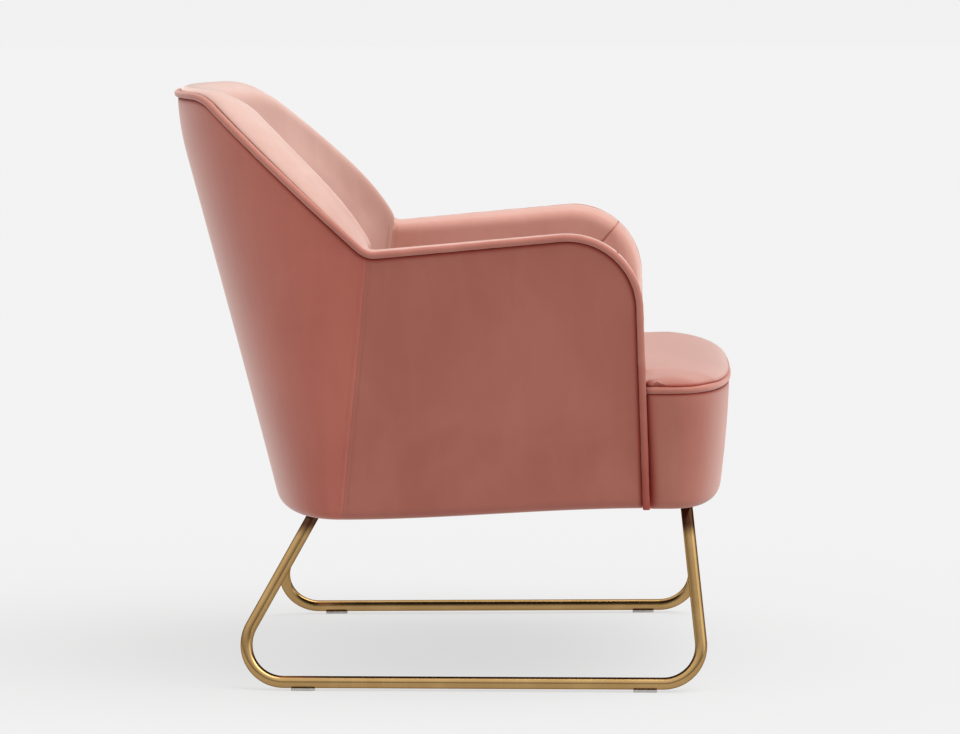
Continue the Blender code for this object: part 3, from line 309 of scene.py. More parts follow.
def velvet(name, lean, lift=(1.0, 1.0, 1.0), sheen=0.85):
    """lean turns the brush marks, and lift multiplies the colour as painted light for how brightly the
    cover is lit.
    """
    paint = new_paint(name)
    where = paint.on_object()
    clouds = paint.noise(where, 6.5, 3.0, 0.55, 0.5).between(0.32, 0.68)
    brushed = paint.stretched(where, (1.0, 1.0, 0.22), (lean, 0.25, 0.0))
    marks = paint.noise(brushed, 34.0, 4.0, 0.6, 0.8).between(0.42, 0.72)
    pile = paint.noise(where, 1500.0, 1.0)
    colour = paint.mix(clouds, ROSE_DEEP, ROSE)
    colour = paint.mix(marks * 0.12, colour, ROSE_PALE)
    colour = paint.mix((pile - 0.35) * 0.22, colour, tuple(0.45 * tone for tone in ROSE_DEEP))
    colour = paint.mix(1.0, colour, lift, "MULTIPLY")
    # Painted shade: near welts and seams the colour darkens towards the deep shade colour, and a shader
    # without sheen is mixed in.
    crease = paint.node("ShaderNodeAttribute", {"attribute_name": "crease"}, out="Fac")
    colour = paint.mix(crease * 0.9, colour, CREASE_SHADE)
    paint.finish(
        Base_Color=colour,
        Roughness=0.72 + clouds * 0.14,
        Specular_IOR_Level=0.18,
        Sheen_Weight=sheen,
        Sheen_Roughness=0.42,
        Sheen_Tint=(1.0, 0.86, 0.80, 1.0),
    )
    paint.bump(pile * 0.5 + marks * 0.3, 0.18, 0.0005)
    paint.under(crease, Base_Color=CREASE_SHADE + (1.0,), Roughness=0.95, Specular_IOR_Level=0.1)
    return paint.owner


# The lifts below are painted light: the insides, the seat and the cord are made paler where the light
# falls most.
VELVET_BACK = velvet("rose_velvet_back", 0.5, (1.14, 1.00, 0.97))
VELVET_SIDE = velvet("rose_velvet_side", 0.2, (0.98, 0.98, 0.96))
VELVET_INSIDE = velvet("rose_velvet_inside", -0.4, (1.42, 2.20, 2.32), 1.0)
VELVET_INNER_BACK = velvet("rose_velvet_inner_back", -0.1, (1.41, 2.62, 2.92), 1.0)
VELVET_SEAT = velvet("rose_velvet_seat", 1.1, (1.06, 1.26, 1.29), 1.0)
VELVET_BAND = velvet("rose_velvet_band", 0.0, (1.04, 1.15, 1.14), 0.45)
VELVET_CORD = velvet("rose_velvet_cord", 0.0, (1.20, 1.42, 1.44), 0.5)
print("velvets:", VELVET_BACK.name, VELVET_SEAT.name)

# %% [markdown]
# ## Brushed brass and the plain materials
# The tube is brass-plated steel, brushed round and round with a fine belt and then lacquered.
# Fine rings run round the tube, so the pattern needs to know where the surface goes: the tube
# carries a UV map with its length along one way and its turn along the other, and the noise is
# stretched on that map. The last two centimetres of each leg sit in the chair's own shade, which
# so bright a studio would leave too light, so a brown that starts at that height stands in for
# it. The hidden parts get plain but honest finishes of their own: sawn
# birch for the boards, zinc for the springs and bolts, felt-like cloth for the dust cover.

# %% Brass
LEG_SHADE = (0.085, 0.036, 0.018)
SHADE_FROM, SHADE_FULL = 0.196, 0.216  # heights


def brushed_brass(name):
    paint = new_paint(name)
    on_tube = paint.node("ShaderNodeUVMap", {"uv_map": "UVMap"})
    where = paint.on_object()
    rings = paint.noise(paint.stretched(on_tube, (2600.0, 6.0, 1.0)), 1.0, 3.0, 0.6)
    haze = paint.noise(where, 22.0, 3.0, 0.6).between(0.35, 0.70)
    colour = paint.mix(haze, (0.440, 0.275, 0.110), (0.500, 0.320, 0.135))
    colour = paint.mix(rings * 0.15, colour, (0.40, 0.23, 0.085))
    height = paint.node("ShaderNodeSeparateXYZ", {}, {"Vector": where}, out="Z")
    colour = paint.mix(height.between(SHADE_FROM, SHADE_FULL), colour, LEG_SHADE)
    paint.finish(
        Base_Color=colour,
        Metallic=1.0,
        Roughness=0.15 + rings * 0.05 + haze * 0.04,
        Specular_Tint=(0.30, 0.17, 0.08, 1.0),
        Coat_Weight=0.05,
        Coat_Roughness=0.12,
    )
    paint.bump(rings, 0.02, 0.0001)
    return paint.owner


BRASS = brushed_brass("brushed_brass")
print("brass ready")

# %% Timber, steel, nylon, thread and cloth
def sawn_timber(name, light, dark):
    paint = new_paint(name)
    where = paint.on_object()
    grain = paint.noise(paint.stretched(where, (60.0, 60.0, 4.0)), 1.0, 4.0, 0.6, 0.4)
    fleck = paint.noise(paint.stretched(where, (700.0, 700.0, 60.0)), 1.0, 1.0)
    paint.finish(
        Base_Color=paint.mix(grain.between(0.3, 0.7), light, dark), Roughness=0.62 + fleck * 0.2
    )
    paint.bump(grain + fleck * 0.5, 0.25, 0.0004)
    return paint.owner


def metal(name, tone, rough):
    paint = new_paint(name)
    where = paint.on_object()
    stain = paint.noise(where, 45.0, 3.0, 0.6)
    paint.finish(
        Base_Color=paint.mix(stain.between(0.3, 0.75), tone, tuple(0.7 * part for part in tone)),
        Metallic=1.0,
        Roughness=rough + stain * 0.15,
    )
    paint.bump(paint.noise(where, 900.0), 0.08, 0.0002)
    return paint.owner


def moulded(name, tone, rough):
    paint = new_paint(name)
    where = paint.on_object()
    grain = paint.noise(where, 1200.0)
    wear = paint.noise(where, 90.0, 3.0, 0.6).between(0.45, 0.8)
    paint.finish(
        Base_Color=paint.mix(wear, tone, tuple(0.75 * part for part in tone)),
        Roughness=rough + grain * 0.12,
        Subsurface_Weight=0.1,
    )
    paint.bump(grain, 0.12, 0.0002)
    return paint.owner


def woven(name, tone, pitch, rough=0.9):
    """Warp over weft: two waves whose crests take turns."""
    paint = new_paint(name)
    where = paint.on_object()
    weave = paint.node(
        "ShaderNodeTexWave", {"bands_direction": "X"}, {"Vector": where, "Scale": pitch}, out="Fac"
    ) * paint.node(
        "ShaderNodeTexWave", {"bands_direction": "Y"}, {"Vector": where, "Scale": pitch}, out="Fac"
    )
    lint = paint.noise(where, 160.0, 4.0, 0.7)
    paint.finish(
        Base_Color=paint.mix(weave * 0.6 + lint * 0.3, tone, tuple(1.9 * part for part in tone)),
        Roughness=rough,
    )
    paint.bump(weave + lint * 0.4, 0.35, 0.0003)
    return paint.owner


BIRCH = sawn_timber("sawn_birch", (0.62, 0.44, 0.27), (0.46, 0.30, 0.16))
ZINC = metal("zinc_plated_steel", (0.56, 0.56, 0.57), 0.30)
BLACK_STEEL = metal("blackened_steel", (0.10, 0.10, 0.11), 0.42)
NYLON = moulded("grey_nylon", (0.50, 0.48, 0.46), 0.45)
THREAD = moulded("rose_thread", (0.40, 0.125, 0.095), 0.6)
WEB = woven("jute_webbing", (0.20, 0.15, 0.10), 190.0)
BLACK_CLOTH = woven("black_dust_cloth", (0.012, 0.012, 0.013), 260.0)
print("plain materials ready")

# %% [markdown]
# ## The shell's rules
# The arms and back are one raked tub. Its outside face is described by a few rules: how wide
# it is at each height, how far back it leans, and where the sewn edge runs from one arm's foot
# up and over to the other's. The back turns from the side seam to the middle as a quarter of
# a superellipse, which is rounder than an ellipse at the corners. Every layer is the same form
# drawn in by its depth, so a rule written once serves the cover, the pad and the welt.

# %% Sizes of the shell
ARM_HALF_WIDTH, FOOT_HALF_WIDTH = 0.346, 0.335
SHELL_FLOOR, SHELL_FLOOR_FRONT = 0.225, 0.240
ARM_FRONT, ARM_FRONT_FOOT = -0.252, -0.263
ARM_TOP_FRONT, ARM_TOP_REAR = 0.606, 0.5745
WING_FOOT, WING_HEAD = 0.101, 0.326
BACK_TOP, BACK_TOP_REAR, BACK_RAKE = 0.7785, 0.3776, radians(14.9)
SEAM_FOOT = 0.137
CORNER_FORM = 2.2
INNER_FORM_SEAT, INNER_FORM_TOP = 2.0, 1.7  # the padding fills the corners, most of all at the top
ARM_CORNER, WING_FOOT_CORNER, WING_HEAD_CORNER = 0.095, 0.030, 0.050
ARM_THICKNESS = 0.057
BACK_THICKNESS_TOP, BACK_THICKNESS_SEAT = 0.046, 0.105
EDGE_DROP = 0.036
ARM_CROWN, BACK_CROWN = 0.0060, 0.0120
FRONT_CROWN = 0.0040
ROLL = 0.013
WELT_RADIUS = 0.0047
SEAM_LAP, PAD_LAP = 0.0010, 0.0002  # seams are pulled tight, so what meets there laps a little
PAD_FLOOR = 0.2474
HIDDEN_DEPTH = 0.0225  # the pads' hidden face, below the outside one
TURNED_UNDER = 0.2434  # the covers' edges end here, between the frame and the dust cover


def blend(a, b, share):
    return a + (b - a) * share


def smooth_share(value):
    value = min(max(value, 0.0), 1.0)
    return value * value * (3 - 2 * value)


def rounded_path(points, radii, steps):
    """A polyline with an arc of each inner point's radius."""
    path = [Vector(points[0])]
    for before, corner, after, radius in zip(points, points[1:], points[2:], radii):
        corner = Vector(corner)
        back = (Vector(before) - corner).normalized()
        on = (Vector(after) - corner).normalized()
        half = back.angle(on) / 2
        centre = corner + (back + on).normalized() * (radius / sin(half))
        start = corner + back * (radius / tan(half)) - centre
        end = corner + on * (radius / tan(half)) - centre
        for step in range(steps + 1):
            path.append(centre + start.lerp(end, step / steps).normalized() * radius)
    path.append(Vector(points[-1]))
    return path


def along(path, shares):
    """Points of a polyline at shares of its length."""
    lengths = [0.0]
    for a, b in zip(path, path[1:]):
        lengths.append(lengths[-1] + (b - a).length)
    found = []
    index = 0
    for share in shares:
        target = lengths[-1] * share
        while index < len(path) - 2 and lengths[index + 1] < target:
            index += 1
        span = lengths[index + 1] - lengths[index]
        found.append(path[index].lerp(path[index + 1], (target - lengths[index]) / span if span else 0.0))
    return found


def even(count):
    return [step / count for step in range(count + 1)]


def graded(length, spacing, start=(), end=()):
    """Shares of a length: given distances in from its ends, and even steps between them."""
    low = start[-1] if start else 0.0
    high = length - (end[-1] if end else 0.0)
    count = max(2, round((high - low) / spacing))
    middle = [blend(low, high, share) for share in even(count)]
    head = [] if not start else [0.0, *start[:-1]]
    tail = [] if not end else [*(length - away for away in reversed(end[:-1])), length]
    return [place / length for place in head + middle + tail]


# %% The sewn edge and the outside face
CORNER_STEPS = 24
EDGE_PATH = rounded_path(
    [
        (ARM_FRONT_FOOT, SHELL_FLOOR_FRONT),
        (ARM_FRONT, ARM_TOP_FRONT),
        (WING_FOOT, ARM_TOP_REAR),
        (WING_HEAD, BACK_TOP),
        (BACK_TOP_REAR + 0.05, BACK_TOP),
    ],
    [ARM_CORNER, WING_FOOT_CORNER, WING_HEAD_CORNER],
    CORNER_STEPS,
)
FRONT_TURN = 1 + CORNER_STEPS // 2
SEAM_TURN = 2 + CORNER_STEPS + CORNER_STEPS // 2
SEAM_HEAD, SEAM_TOP = EDGE_PATH[SEAM_TURN]
WING_LINE = EDGE_PATH[SEAM_TURN:]


def lap(depth):
    """The pads are drawn far in from the outside face, and the outside covers aren't."""
    return PAD_LAP if depth > 0.01 else SEAM_LAP


def edge_height(y):
    for a, b in zip(WING_LINE, WING_LINE[1:]):
        if y <= b.x:
            return blend(a.y, b.y, (y - a.x) / (b.x - a.x))
    return WING_LINE[-1].y


def lower_edge(y):
    share = (y - ARM_FRONT_FOOT) / (SEAM_FOOT - ARM_FRONT_FOOT)
    return blend(SHELL_FLOOR_FRONT, SHELL_FLOOR, smooth_share(share))


def half_width(z):
    return blend(FOOT_HALF_WIDTH, ARM_HALF_WIDTH, (z - SHELL_FLOOR) / (ARM_TOP_FRONT - SHELL_FLOOR))


def seam_y(z):
    return blend(SEAM_FOOT, SEAM_HEAD, (z - SHELL_FLOOR) / (SEAM_TOP - SHELL_FLOOR))


EASE_DEPTH, EASE_HEIGHT, EASE_BEND = 0.0105, 0.08, 1.65


def back_y(z):
    """The back's outer face in the middle: raked, easing upright under its top edge."""
    foot = BACK_TOP_REAR + EASE_DEPTH - tan(BACK_RAKE) * BACK_TOP
    return foot + tan(BACK_RAKE) * z - EASE_BEND * max(z - BACK_TOP + EASE_HEIGHT, 0.0) ** 2


THICKNESS_FALL, FORM_FALL = 0.30, 0.35  # over these heights the top's padding gives way


def back_thickness(z):
    share = smooth_share((BACK_TOP - EDGE_DROP - z) / THICKNESS_FALL)
    return blend(BACK_THICKNESS_TOP, BACK_THICKNESS_SEAT, share)


def inner_form(z):
    share = smooth_share((BACK_TOP - EDGE_DROP - z) / FORM_FALL)
    return blend(INNER_FORM_TOP, INNER_FORM_SEAT, share)


def back_point(turn, z, depth, middle_depth=None, form=CORNER_FORM):
    """turn runs from 0 at the side seam to 1 in the middle."""
    middle_depth = depth if middle_depth is None else middle_depth
    across = half_width(z) - depth
    start = seam_y(z) - lap(depth)
    reach = back_y(z) - middle_depth - start
    angle = min(turn, 1.0) * pi / 2
    power = 2 / form
    x = across * max(cos(angle), 0.0) ** power if turn < 1 else 0.0
    return Vector((x, start + reach * sin(angle) ** power, z))


def edge_point(turn):
    """On the back's sewn edge: its height and place settle together in a few rounds."""
    z = BACK_TOP
    for _ in range(14):
        z = edge_height(back_point(turn, z, 0.0).y)
    return back_point(turn, z, 0.0)


SEAM_BLEND = 0.04  # the arm's section gives way to the back's over these turns


def near_seam(turn):
    return smooth_share(1 - turn / SEAM_BLEND)


def edge_drop(turn, drop):
    """Height of a line that runs drop inside the sewn edge, square to it."""
    step = 0.02
    on = edge_point(min(turn + step, 1.0)) - edge_point(max(turn - step, 0.0))
    return edge_point(turn).z - drop * on.length / hypot(on.x, on.y)


first, last = (tuple(round(v, 3) for v in EDGE_PATH[end]) for end in (0, -1))
print("edge from", first, "to", last)

# %% [markdown]
# ## Patches
# A flat arm has four sides, two of them curved, and a grid that fits all four is a Coons
# patch: each point is a blend of the four sides less a blend of the four corners. The back is
# simpler, since its columns are turns round the tub. Rows lie close together near seams and
# edges, where the cloth bends sharply, and far apart on the calm faces.

# %% Patches over an arm and over the back
def edge_inside(drop):
    """The arm's sewn edge moved in by drop, as its front part and its top part."""
    line = EDGE_PATH[: SEAM_TURN + 1]
    drawn = []
    for index, point in enumerate(line):
        on = line[min(index + 1, len(line) - 1)] - line[max(index - 1, 0)]
        drawn.append(point - Vector((-on.y, on.x)).normalized() * drop)
    return drawn[: FRONT_TURN + 1], drawn[FRONT_TURN:]


def end_on_seam(line, depth):
    """Cuts a line where it crosses the seam, or carries it on to there."""
    reach = lap(depth)
    while len(line) > 2 and line[-2].x > seam_y(line[-2].y) + reach:
        line.pop()
    before, after = (point.x - seam_y(point.y) - reach for point in line[-2:])
    line[-1] = line[-2].lerp(line[-1], before / (before - after))


def arm_patch(depth, drop, floor, ups, overs):
    """Rows of points over the left arm's side, floor(y) being its lower line."""
    front, top = edge_inside(drop)
    first = floor(front[0].x)
    while len(front) > 2 and front[1].y < first:
        front.pop(0)
    share = (first - front[0].y) / (front[1].y - front[0].y)
    front[0] = front[0].lerp(front[1], share)
    end_on_seam(top, depth)
    left, over = along(front, ups), along(top, overs)
    rear = floor(SEAM_FOOT)
    seam = [Vector((seam_y(z) + lap(depth), z)) for z in (blend(rear, top[-1].y, up) for up in ups)]
    lows = [blend(left[0].x, seam[0].x, share) for share in overs]
    foot = [Vector((y, floor(y))) for y in lows]
    rows = []
    for a, b, up in zip(left, seam, ups):
        line = []
        for low, high, on in zip(foot, over, overs):
            point = a * (1 - on) + b * on + low * (1 - up) + high * up
            point -= (foot[0] * (1 - on) + foot[-1] * on) * (1 - up)
            point -= (over[0] * (1 - on) + over[-1] * on) * up
            line.append(Vector((half_width(point.y) - depth, point.x, point.y)))
        rows.append(line)
    return rows


def whole_way(half):
    """A line from the left side to the middle, and its mirror image on to the right side."""
    return half + [mirrored_point(point, -1) for point in reversed(half[:-1])]


def both_ways(shares):
    """Turns from the left seam to the middle and on to the right seam, with their sides."""
    return [(turn, 1) for turn in shares] + [(turn, -1) for turn in reversed(shares[:-1])]


def mirrored_point(point, side):
    return Vector((point.x * side, point.y, point.z))


def back_patch(depth, drop, floor, ups, turns, inner=False):
    """Rows of points over the whole back, from the left seam round to the right one."""
    tops = {turn: edge_drop(turn, drop) for turn, _ in turns}
    if inner:
        _, top = edge_inside(drop)
        end_on_seam(top, depth)
        seam_drop = SEAM_TOP - top[-1].y
        for turn in tops:
            level = edge_point(turn).z - seam_drop
            tops[turn] = blend(tops[turn], level, near_seam(turn))
    rows = []
    for up in ups:
        line = []
        for turn, side in turns:
            z = blend(floor, tops[turn], up)
            middle = back_thickness(z) + depth - ARM_THICKNESS if inner else depth
            form = inner_form(z) if inner else CORNER_FORM
            line.append(mirrored_point(back_point(turn, z, depth, middle, form), side))
        rows.append(line)
    return rows


print("patches ready")

# %% [markdown]
# ## Outside covers
# The outside of a chair like this is flat cloth over board: three panels that meet in two
# upright seams. What makes them look sewn is what happens at their borders. At a seam both
# panels turn in and leave a soft valley. Along the top they tuck down behind the welt. At the
# bottom they roll under the frame, where they are stapled. So each panel is a grid with extra
# rows at its borders, thickened to cloth and smoothed with a subdivision surface.

# %% Grids into meshes
def weave_rows(shape, rows):
    verts = [[shape.verts.new(point) for point in line] for line in rows]
    for low, high in zip(verts, verts[1:]):
        for column in range(len(low) - 1):
            shape.faces.new((low[column], low[column + 1], high[column + 1], high[column]))
    return verts


def join_lines(shape, first, second, closed=False):
    count = len(first)
    for index in range(count if closed else count - 1):
        after = (index + 1) % count
        shape.faces.new((first[index], first[after], second[after], second[index]))


def facing(shape, direction):
    """Turns an open surface so that most of it faces one way."""
    bmesh.ops.recalc_face_normals(shape, faces=shape.faces[:])
    if sum(face.normal.dot(Vector(direction)) * face.calc_area() for face in shape.faces) < 0:
        bmesh.ops.reverse_faces(shape, faces=shape.faces[:])


def new_piece(name, shape, material):
    mesh = bpy.data.meshes.new(name)
    shape.to_mesh(mesh)
    shape.free()
    mesh.materials.append(material)
    mesh.shade_smooth()
    piece = bpy.data.objects.new(name, mesh)
    scene.collection.objects.link(piece)
    return piece


def smoothed(piece, levels):
    finer = piece.modifiers.new("finer", "SUBSURF")
    finer.levels = finer.render_levels = levels


def thickened(piece, thickness):
    cloth = piece.modifiers.new("cloth", "SOLIDIFY")
    cloth.thickness = thickness
    cloth.offset = -1.0


def settled(piece):
    """Replaces the mesh with what its modifiers make of it."""
    bpy.context.view_layer.update()
    graph = bpy.context.evaluated_depsgraph_get()
    made = bpy.data.meshes.new_from_object(piece.evaluated_get(graph))
    piece.modifiers.clear()
    old = piece.data
    piece.data = made
    bpy.data.meshes.remove(old)
    made.name = piece.name
    made.shade_smooth()
    return piece


def hand_over(piece, slot, *nodes):
    """Every finished piece rides on the chair's one body and stands for some CAD nodes."""
    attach(piece, "root")
    if nodes:
        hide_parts(*nodes)
    return piece


# %% Borders of the outside covers
CLOTH = 0.0013
SIDES = (("left", 1), ("right", -1))
TUCK_DROP = 0.0095  # the flat of a panel ends this far inside the sewn edge
TUCK = ((0.0066, 0.0003), (0.0049, 0.0014), (0.0038, 0.0030), (0.0034, 0.0055), (0.0036, 0.009))
SEAM_LINES = (0.0006, 0.0015, 0.0028, 0.0044, 0.0060, 0.0078, 0.0110, 0.0170, 0.0260)
RETURN = 0.006  # how far the cloth turns in at a seam
STITCH_AWAY = 0.006  # from an upright seam to its rows of stitches
ROLL_TURNS = (90, 72, 54, 36, 18)


def hollow(away, width):
    """A soft dip, as a share of its depth."""
    return exp(-((away / width) ** 2))


def seam_valley(away):
    """How deep the cloth lies near an upright seam, and in the line of its stitches."""
    return 0.0010 * hollow(away, 0.0018) + 0.0003 * hollow(away - STITCH_AWAY, 0.0013)


def rolled_under(at, edge):
    """Points from the stapled edge out to the flat face; at(depth, z) is a place on the shell."""
    lift = TURNED_UNDER - edge
    under = [(ROLL + 0.017, lift), (ROLL + 0.013, lift - 0.0006), (ROLL + 0.008, 0.4 * lift)]
    points = [at(depth, edge + above) for depth, above in under]
    for turn in ROLL_TURNS:
        angle = radians(turn)
        points.append(at(ROLL * (1 - cos(angle)), edge + ROLL * (1 - sin(angle))))
    return points


def arm_tuck(rows):
    """Lines of points that carry the arm's panel from its flat round behind the welt."""
    rim = [row[0] for row in rows] + rows[-1][1:]
    first_flat = 8
    lines = []
    for drop, depth in TUCK:
        line = []
        for index, point in enumerate(rim):
            spot = max(index, first_flat + 1)
            on = rim[min(spot + 1, len(rim) - 2)] - rim[min(spot, len(rim) - 3) - 1]
            out = Vector((0.0, -on.z, on.y)).normalized()
            place = point + out * (TUCK_DROP - drop) - Vector((depth, 0, 0))
            if index >= len(rim) - 2:
                place.y = min(place.y, seam_y(place.z) + SEAM_LAP)
            line.append(place)
        lines.append(line)
    return lines


def outside_arm(side, sign):
    ups = graded(0.32, 0.012, end=(0.004, 0.010))
    overs = graded(0.37, 0.012, start=(0.004, 0.010), end=SEAM_LINES)
    flat = arm_patch(0.0, TUCK_DROP, lambda y: lower_edge(y) + ROLL, ups, overs)
    for row in flat:
        seam = row[-1].y
        for point in row:
            point.x -= seam_valley(seam - point.y)
    columns = []
    for foot in flat[0]:
        edge = foot.z - ROLL
        columns.append(rolled_under(lambda d, z, y=foot.y: Vector((half_width(z) - d, y, z)), edge))
    rows = [list(row) for row in zip(*columns)] + flat
    for row in rows:
        row.append(row[-1] - Vector((RETURN, 0, 0)))
    shape = bmesh.new()
    verts = weave_rows(shape, rows)
    rim = [row[0] for row in verts] + verts[-1][1:]
    for line in arm_tuck(rows):
        further = [shape.verts.new(point) for point in line]
        join_lines(shape, rim, further)
        rim = further
    bmesh.ops.scale(shape, vec=(sign, 1, 1), verts=shape.verts[:])
    facing(shape, (sign, 0, 0))
    cover = new_piece("outside_arm_" + side, shape, VELVET_SIDE)
    thickened(cover, CLOTH)
    smoothed(cover, 2)
    return settled(cover)


ARM_PANELS = {side: outside_arm(side, sign) for side, sign in SIDES}
for side, panel in ARM_PANELS.items():
    hand_over(panel, "velvet", "outside_arm_cover_" + side)
    print(panel.name, len(panel.data.polygons), "faces")

# %% The outside back
HALF_GIRTH = 0.55  # from a side seam round to the middle of the back


def outside_back():
    turns = both_ways(graded(HALF_GIRTH, 0.012, start=SEAM_LINES))
    ups = graded(0.5, 0.013, end=(0.004, 0.010))
    flat = back_patch(0.0, TUCK_DROP, SHELL_FLOOR + ROLL, ups, turns)
    columns = []
    for turn, side in turns:
        columns.append(
            rolled_under(
                lambda d, z, t=turn, s=side: mirrored_point(back_point(t, z, d), s), SHELL_FLOOR
            )
        )
    rows = [list(row) for row in zip(*columns)] + flat
    for drop, depth in TUCK:
        heights = {turn: edge_drop(turn, drop) for turn, _ in turns}
        rows.append(
            [mirrored_point(back_point(t, heights[t], depth), side) for t, side in turns]
        )
    for row in rows:
        for end in (0, -1):
            side = 1 if row[end].x > 0 else -1
            for column in range(1, len(SEAM_LINES) + 1):
                spot = row[column] if end == 0 else row[-1 - column]
                spot.x -= side * seam_valley((spot - row[end]).length)
            row[end].x -= side * seam_valley(0.0)
        row.insert(0, row[0] - Vector((RETURN, 0, 0)))
        row.append(row[-1] + Vector((RETURN, 0, 0)))
    shape = bmesh.new()
    weave_rows(shape, rows)
    facing(shape, (0, 1, 0))
    cover = new_piece("outside_back", shape, VELVET_BACK)
    thickened(cover, CLOTH)
    smoothed(cover, 2)
    return settled(cover)


BACK_PANEL = hand_over(outside_back(), "velvet", "outside_back_cover")
print(BACK_PANEL.name, len(BACK_PANEL.data.polygons), "faces")

# %% [markdown]
# ## Padding
# Foam under a cover isn't flat: the cover is sewn down at its edges and the foam pushes it out
# in between. That is a small physics problem, and Blender's cloth solver can answer it. The
# pad starts as a closed bag a little slimmer than it should be. Its hidden side and its sewn
# edges are pinned, a pressure blows it up for twenty frames, and the move of each point is
# then capped, so that the result swells by a few millimetres but can't balloon. The result is
# copied into a plain mesh, so nothing is left to simulate.

# %% Closed bags and the swelling
SEAM_SHARP = 0.9
PRESSURE, FRAMES, SMOOTHINGS = 4.0, 20, 30


def border_cells(rows, columns):
    ring = [(0, c) for c in range(columns)] + [(r, columns - 1) for r in range(1, rows)]
    ring += [(rows - 1, c) for c in range(columns - 2, -1, -1)]
    return ring + [(r, 0) for r in range(rows - 2, 0, -1)]


def closed_bag(hidden, shown, chains, sewn):
    """A bag between two grids. chains maps a border cell to the points that lead over an edge
    from the hidden side to the shown one; elsewhere the two are joined straight. sewn lists the
    columns that are pulled tight against a neighbour, and stay sharp when the bag is smoothed."""
    shape = bmesh.new()
    back, front = weave_rows(shape, hidden), weave_rows(shape, shown)
    cells = border_cells(len(hidden), len(hidden[0]))
    steps = len(next(iter(chains.values())))
    rings = [[back[r][c] for r, c in cells]]
    for step in range(steps):
        ring = []
        for r, c in cells:
            straight = hidden[r][c].lerp(shown[r][c], (step + 1) / (steps + 1))
            ring.append(shape.verts.new(chains[r, c][step] if (r, c) in chains else straight))
        rings.append(ring)
    rings.append([front[r][c] for r, c in cells])
    for first, second in zip(rings, rings[1:]):
        join_lines(shape, first, second, closed=True)
    sharp = shape.edges.layers.float.new("crease_edge")
    for column in sewn:
        spot = cells.index((len(hidden) - 1, column))
        over = [ring[spot] for ring in rings[1:]]
        down = [row[column] for row in front]
        for first, second in [*zip(over, over[1:]), *zip(down, down[1:])]:
            shape.edges.get((first, second))[sharp] = SEAM_SHARP
    shape.verts.index_update()
    loose = {vert.index for row in front[1:-1] for vert in row[1:-1]}
    for ring in rings[4:]:
        loose |= {vert.index for vert, cell in zip(ring, cells) if cell in chains}
    bmesh.ops.recalc_face_normals(shape, faces=shape.faces[:])
    return shape, loose


def swell(piece, loose, cap, fade):
    """Blows the bag up with its sewn points held; fade is how far their hold reaches."""
    mesh = piece.data
    count = len(mesh.vertices)
    rest = np.empty(count * 3)
    mesh.vertices.foreach_get("co", rest)
    rest = rest.reshape(-1, 3)
    held = np.array([index not in loose for index in range(count)])
    soft = piece.copy()
    soft.data = mesh.copy()
    scene.collection.objects.link(soft)
    soft.vertex_groups.new(name="sewn").add(np.flatnonzero(held).tolist(), 1.0, "REPLACE")
    cloth = soft.modifiers.new("cloth", "CLOTH")
    cloth.settings.use_pressure = True
    cloth.settings.uniform_pressure_force = PRESSURE
    cloth.settings.effector_weights.gravity = 0.0
    cloth.settings.vertex_group_mass = "sewn"
    for number in range(1, FRAMES + 1):
        scene.frame_set(number)
    graph = bpy.context.evaluated_depsgraph_get()
    blown = soft.evaluated_get(graph).to_mesh()
    moved = np.empty(count * 3)
    blown.vertices.foreach_get("co", moved)
    move = moved.reshape(-1, 3) - rest
    ends = np.empty(len(mesh.edges) * 2, np.int64)
    mesh.edges.foreach_get("vertices", ends)
    ends = ends.reshape(-1, 2)
    share = 1.0 / np.bincount(ends.ravel(), minlength=count)[:, None]
    for _ in range(SMOOTHINGS):
        total = np.zeros_like(move)
        np.add.at(total, ends[:, 0], move[ends[:, 1]])
        np.add.at(total, ends[:, 1], move[ends[:, 0]])
        move = total * share
    scene.frame_set(1)
    used = soft.data
    bpy.data.objects.remove(soft)
    bpy.data.meshes.remove(used)
    length = np.linalg.norm(move, axis=1, keepdims=True) + 1e-9
    move *= cap * np.tanh(length / cap) / length
    anchors = rest[held]
    nearest = np.array([np.sqrt(((anchors - point) ** 2).sum(1).min()) for point in rest])
    hold = np.clip(nearest / fade, 0, 1)[:, None]
    mesh.vertices.foreach_set("co", (rest + move * hold * (2 - hold)).ravel())
    mesh.update()
    most = float(np.linalg.norm(move, axis=1).max())
    print(piece.name, "swelled by up to", round(most * 1000, 1), "mm")


print("bags ready")

# %% [markdown]
# ## Arm pads and inside back
# The inside cover is carried up over the foam, across the top as a soft crown, and down to the
# welt. In section that is a rounded profile, and it is drawn once and carried along the whole
# sewn edge. The arm and the back meet in an upright seam, where each pad turns in on itself,
# so both bags end in a tight radius and a valley forms between them by itself.

# %% The rounded edge in section
def edge_profile(width, crown):
    """Pairs (inward from the sewn edge, outward beyond it), from the welt to the inner face."""
    tuck_in, tuck_out = 0.0024, 0.0012
    peak, shoulder = 0.42, 0.76
    pairs = [(tuck_in, tuck_out)]
    for share in (0.10, 0.17, 0.26, 0.34, 0.42):
        rise = sin(pi / 2 * (share / peak) ** 0.8)
        pairs.append((width * share, tuck_out + (crown - tuck_out) * rise))
    for share in (0.52, 0.63, 0.72):
        fall = ((share - peak) / (shoulder - peak)) ** 2
        pairs.append((width * share, crown * (1 - 0.45 * fall)))
    radius = width * (1 - shoulder)
    for turn in (68, 46, 24, 0):
        angle = radians(turn)
        pairs.append((width - radius * (1 - cos(angle)), 0.55 * crown - radius * (1 - sin(angle))))
    pairs.append((width, 0.55 * crown - radius - 0.25 * EDGE_DROP))
    return pairs


FLAT_BELOW, CROWNED_OVER = 0.42, 0.15  # up the arm's front, its crown grows over this height


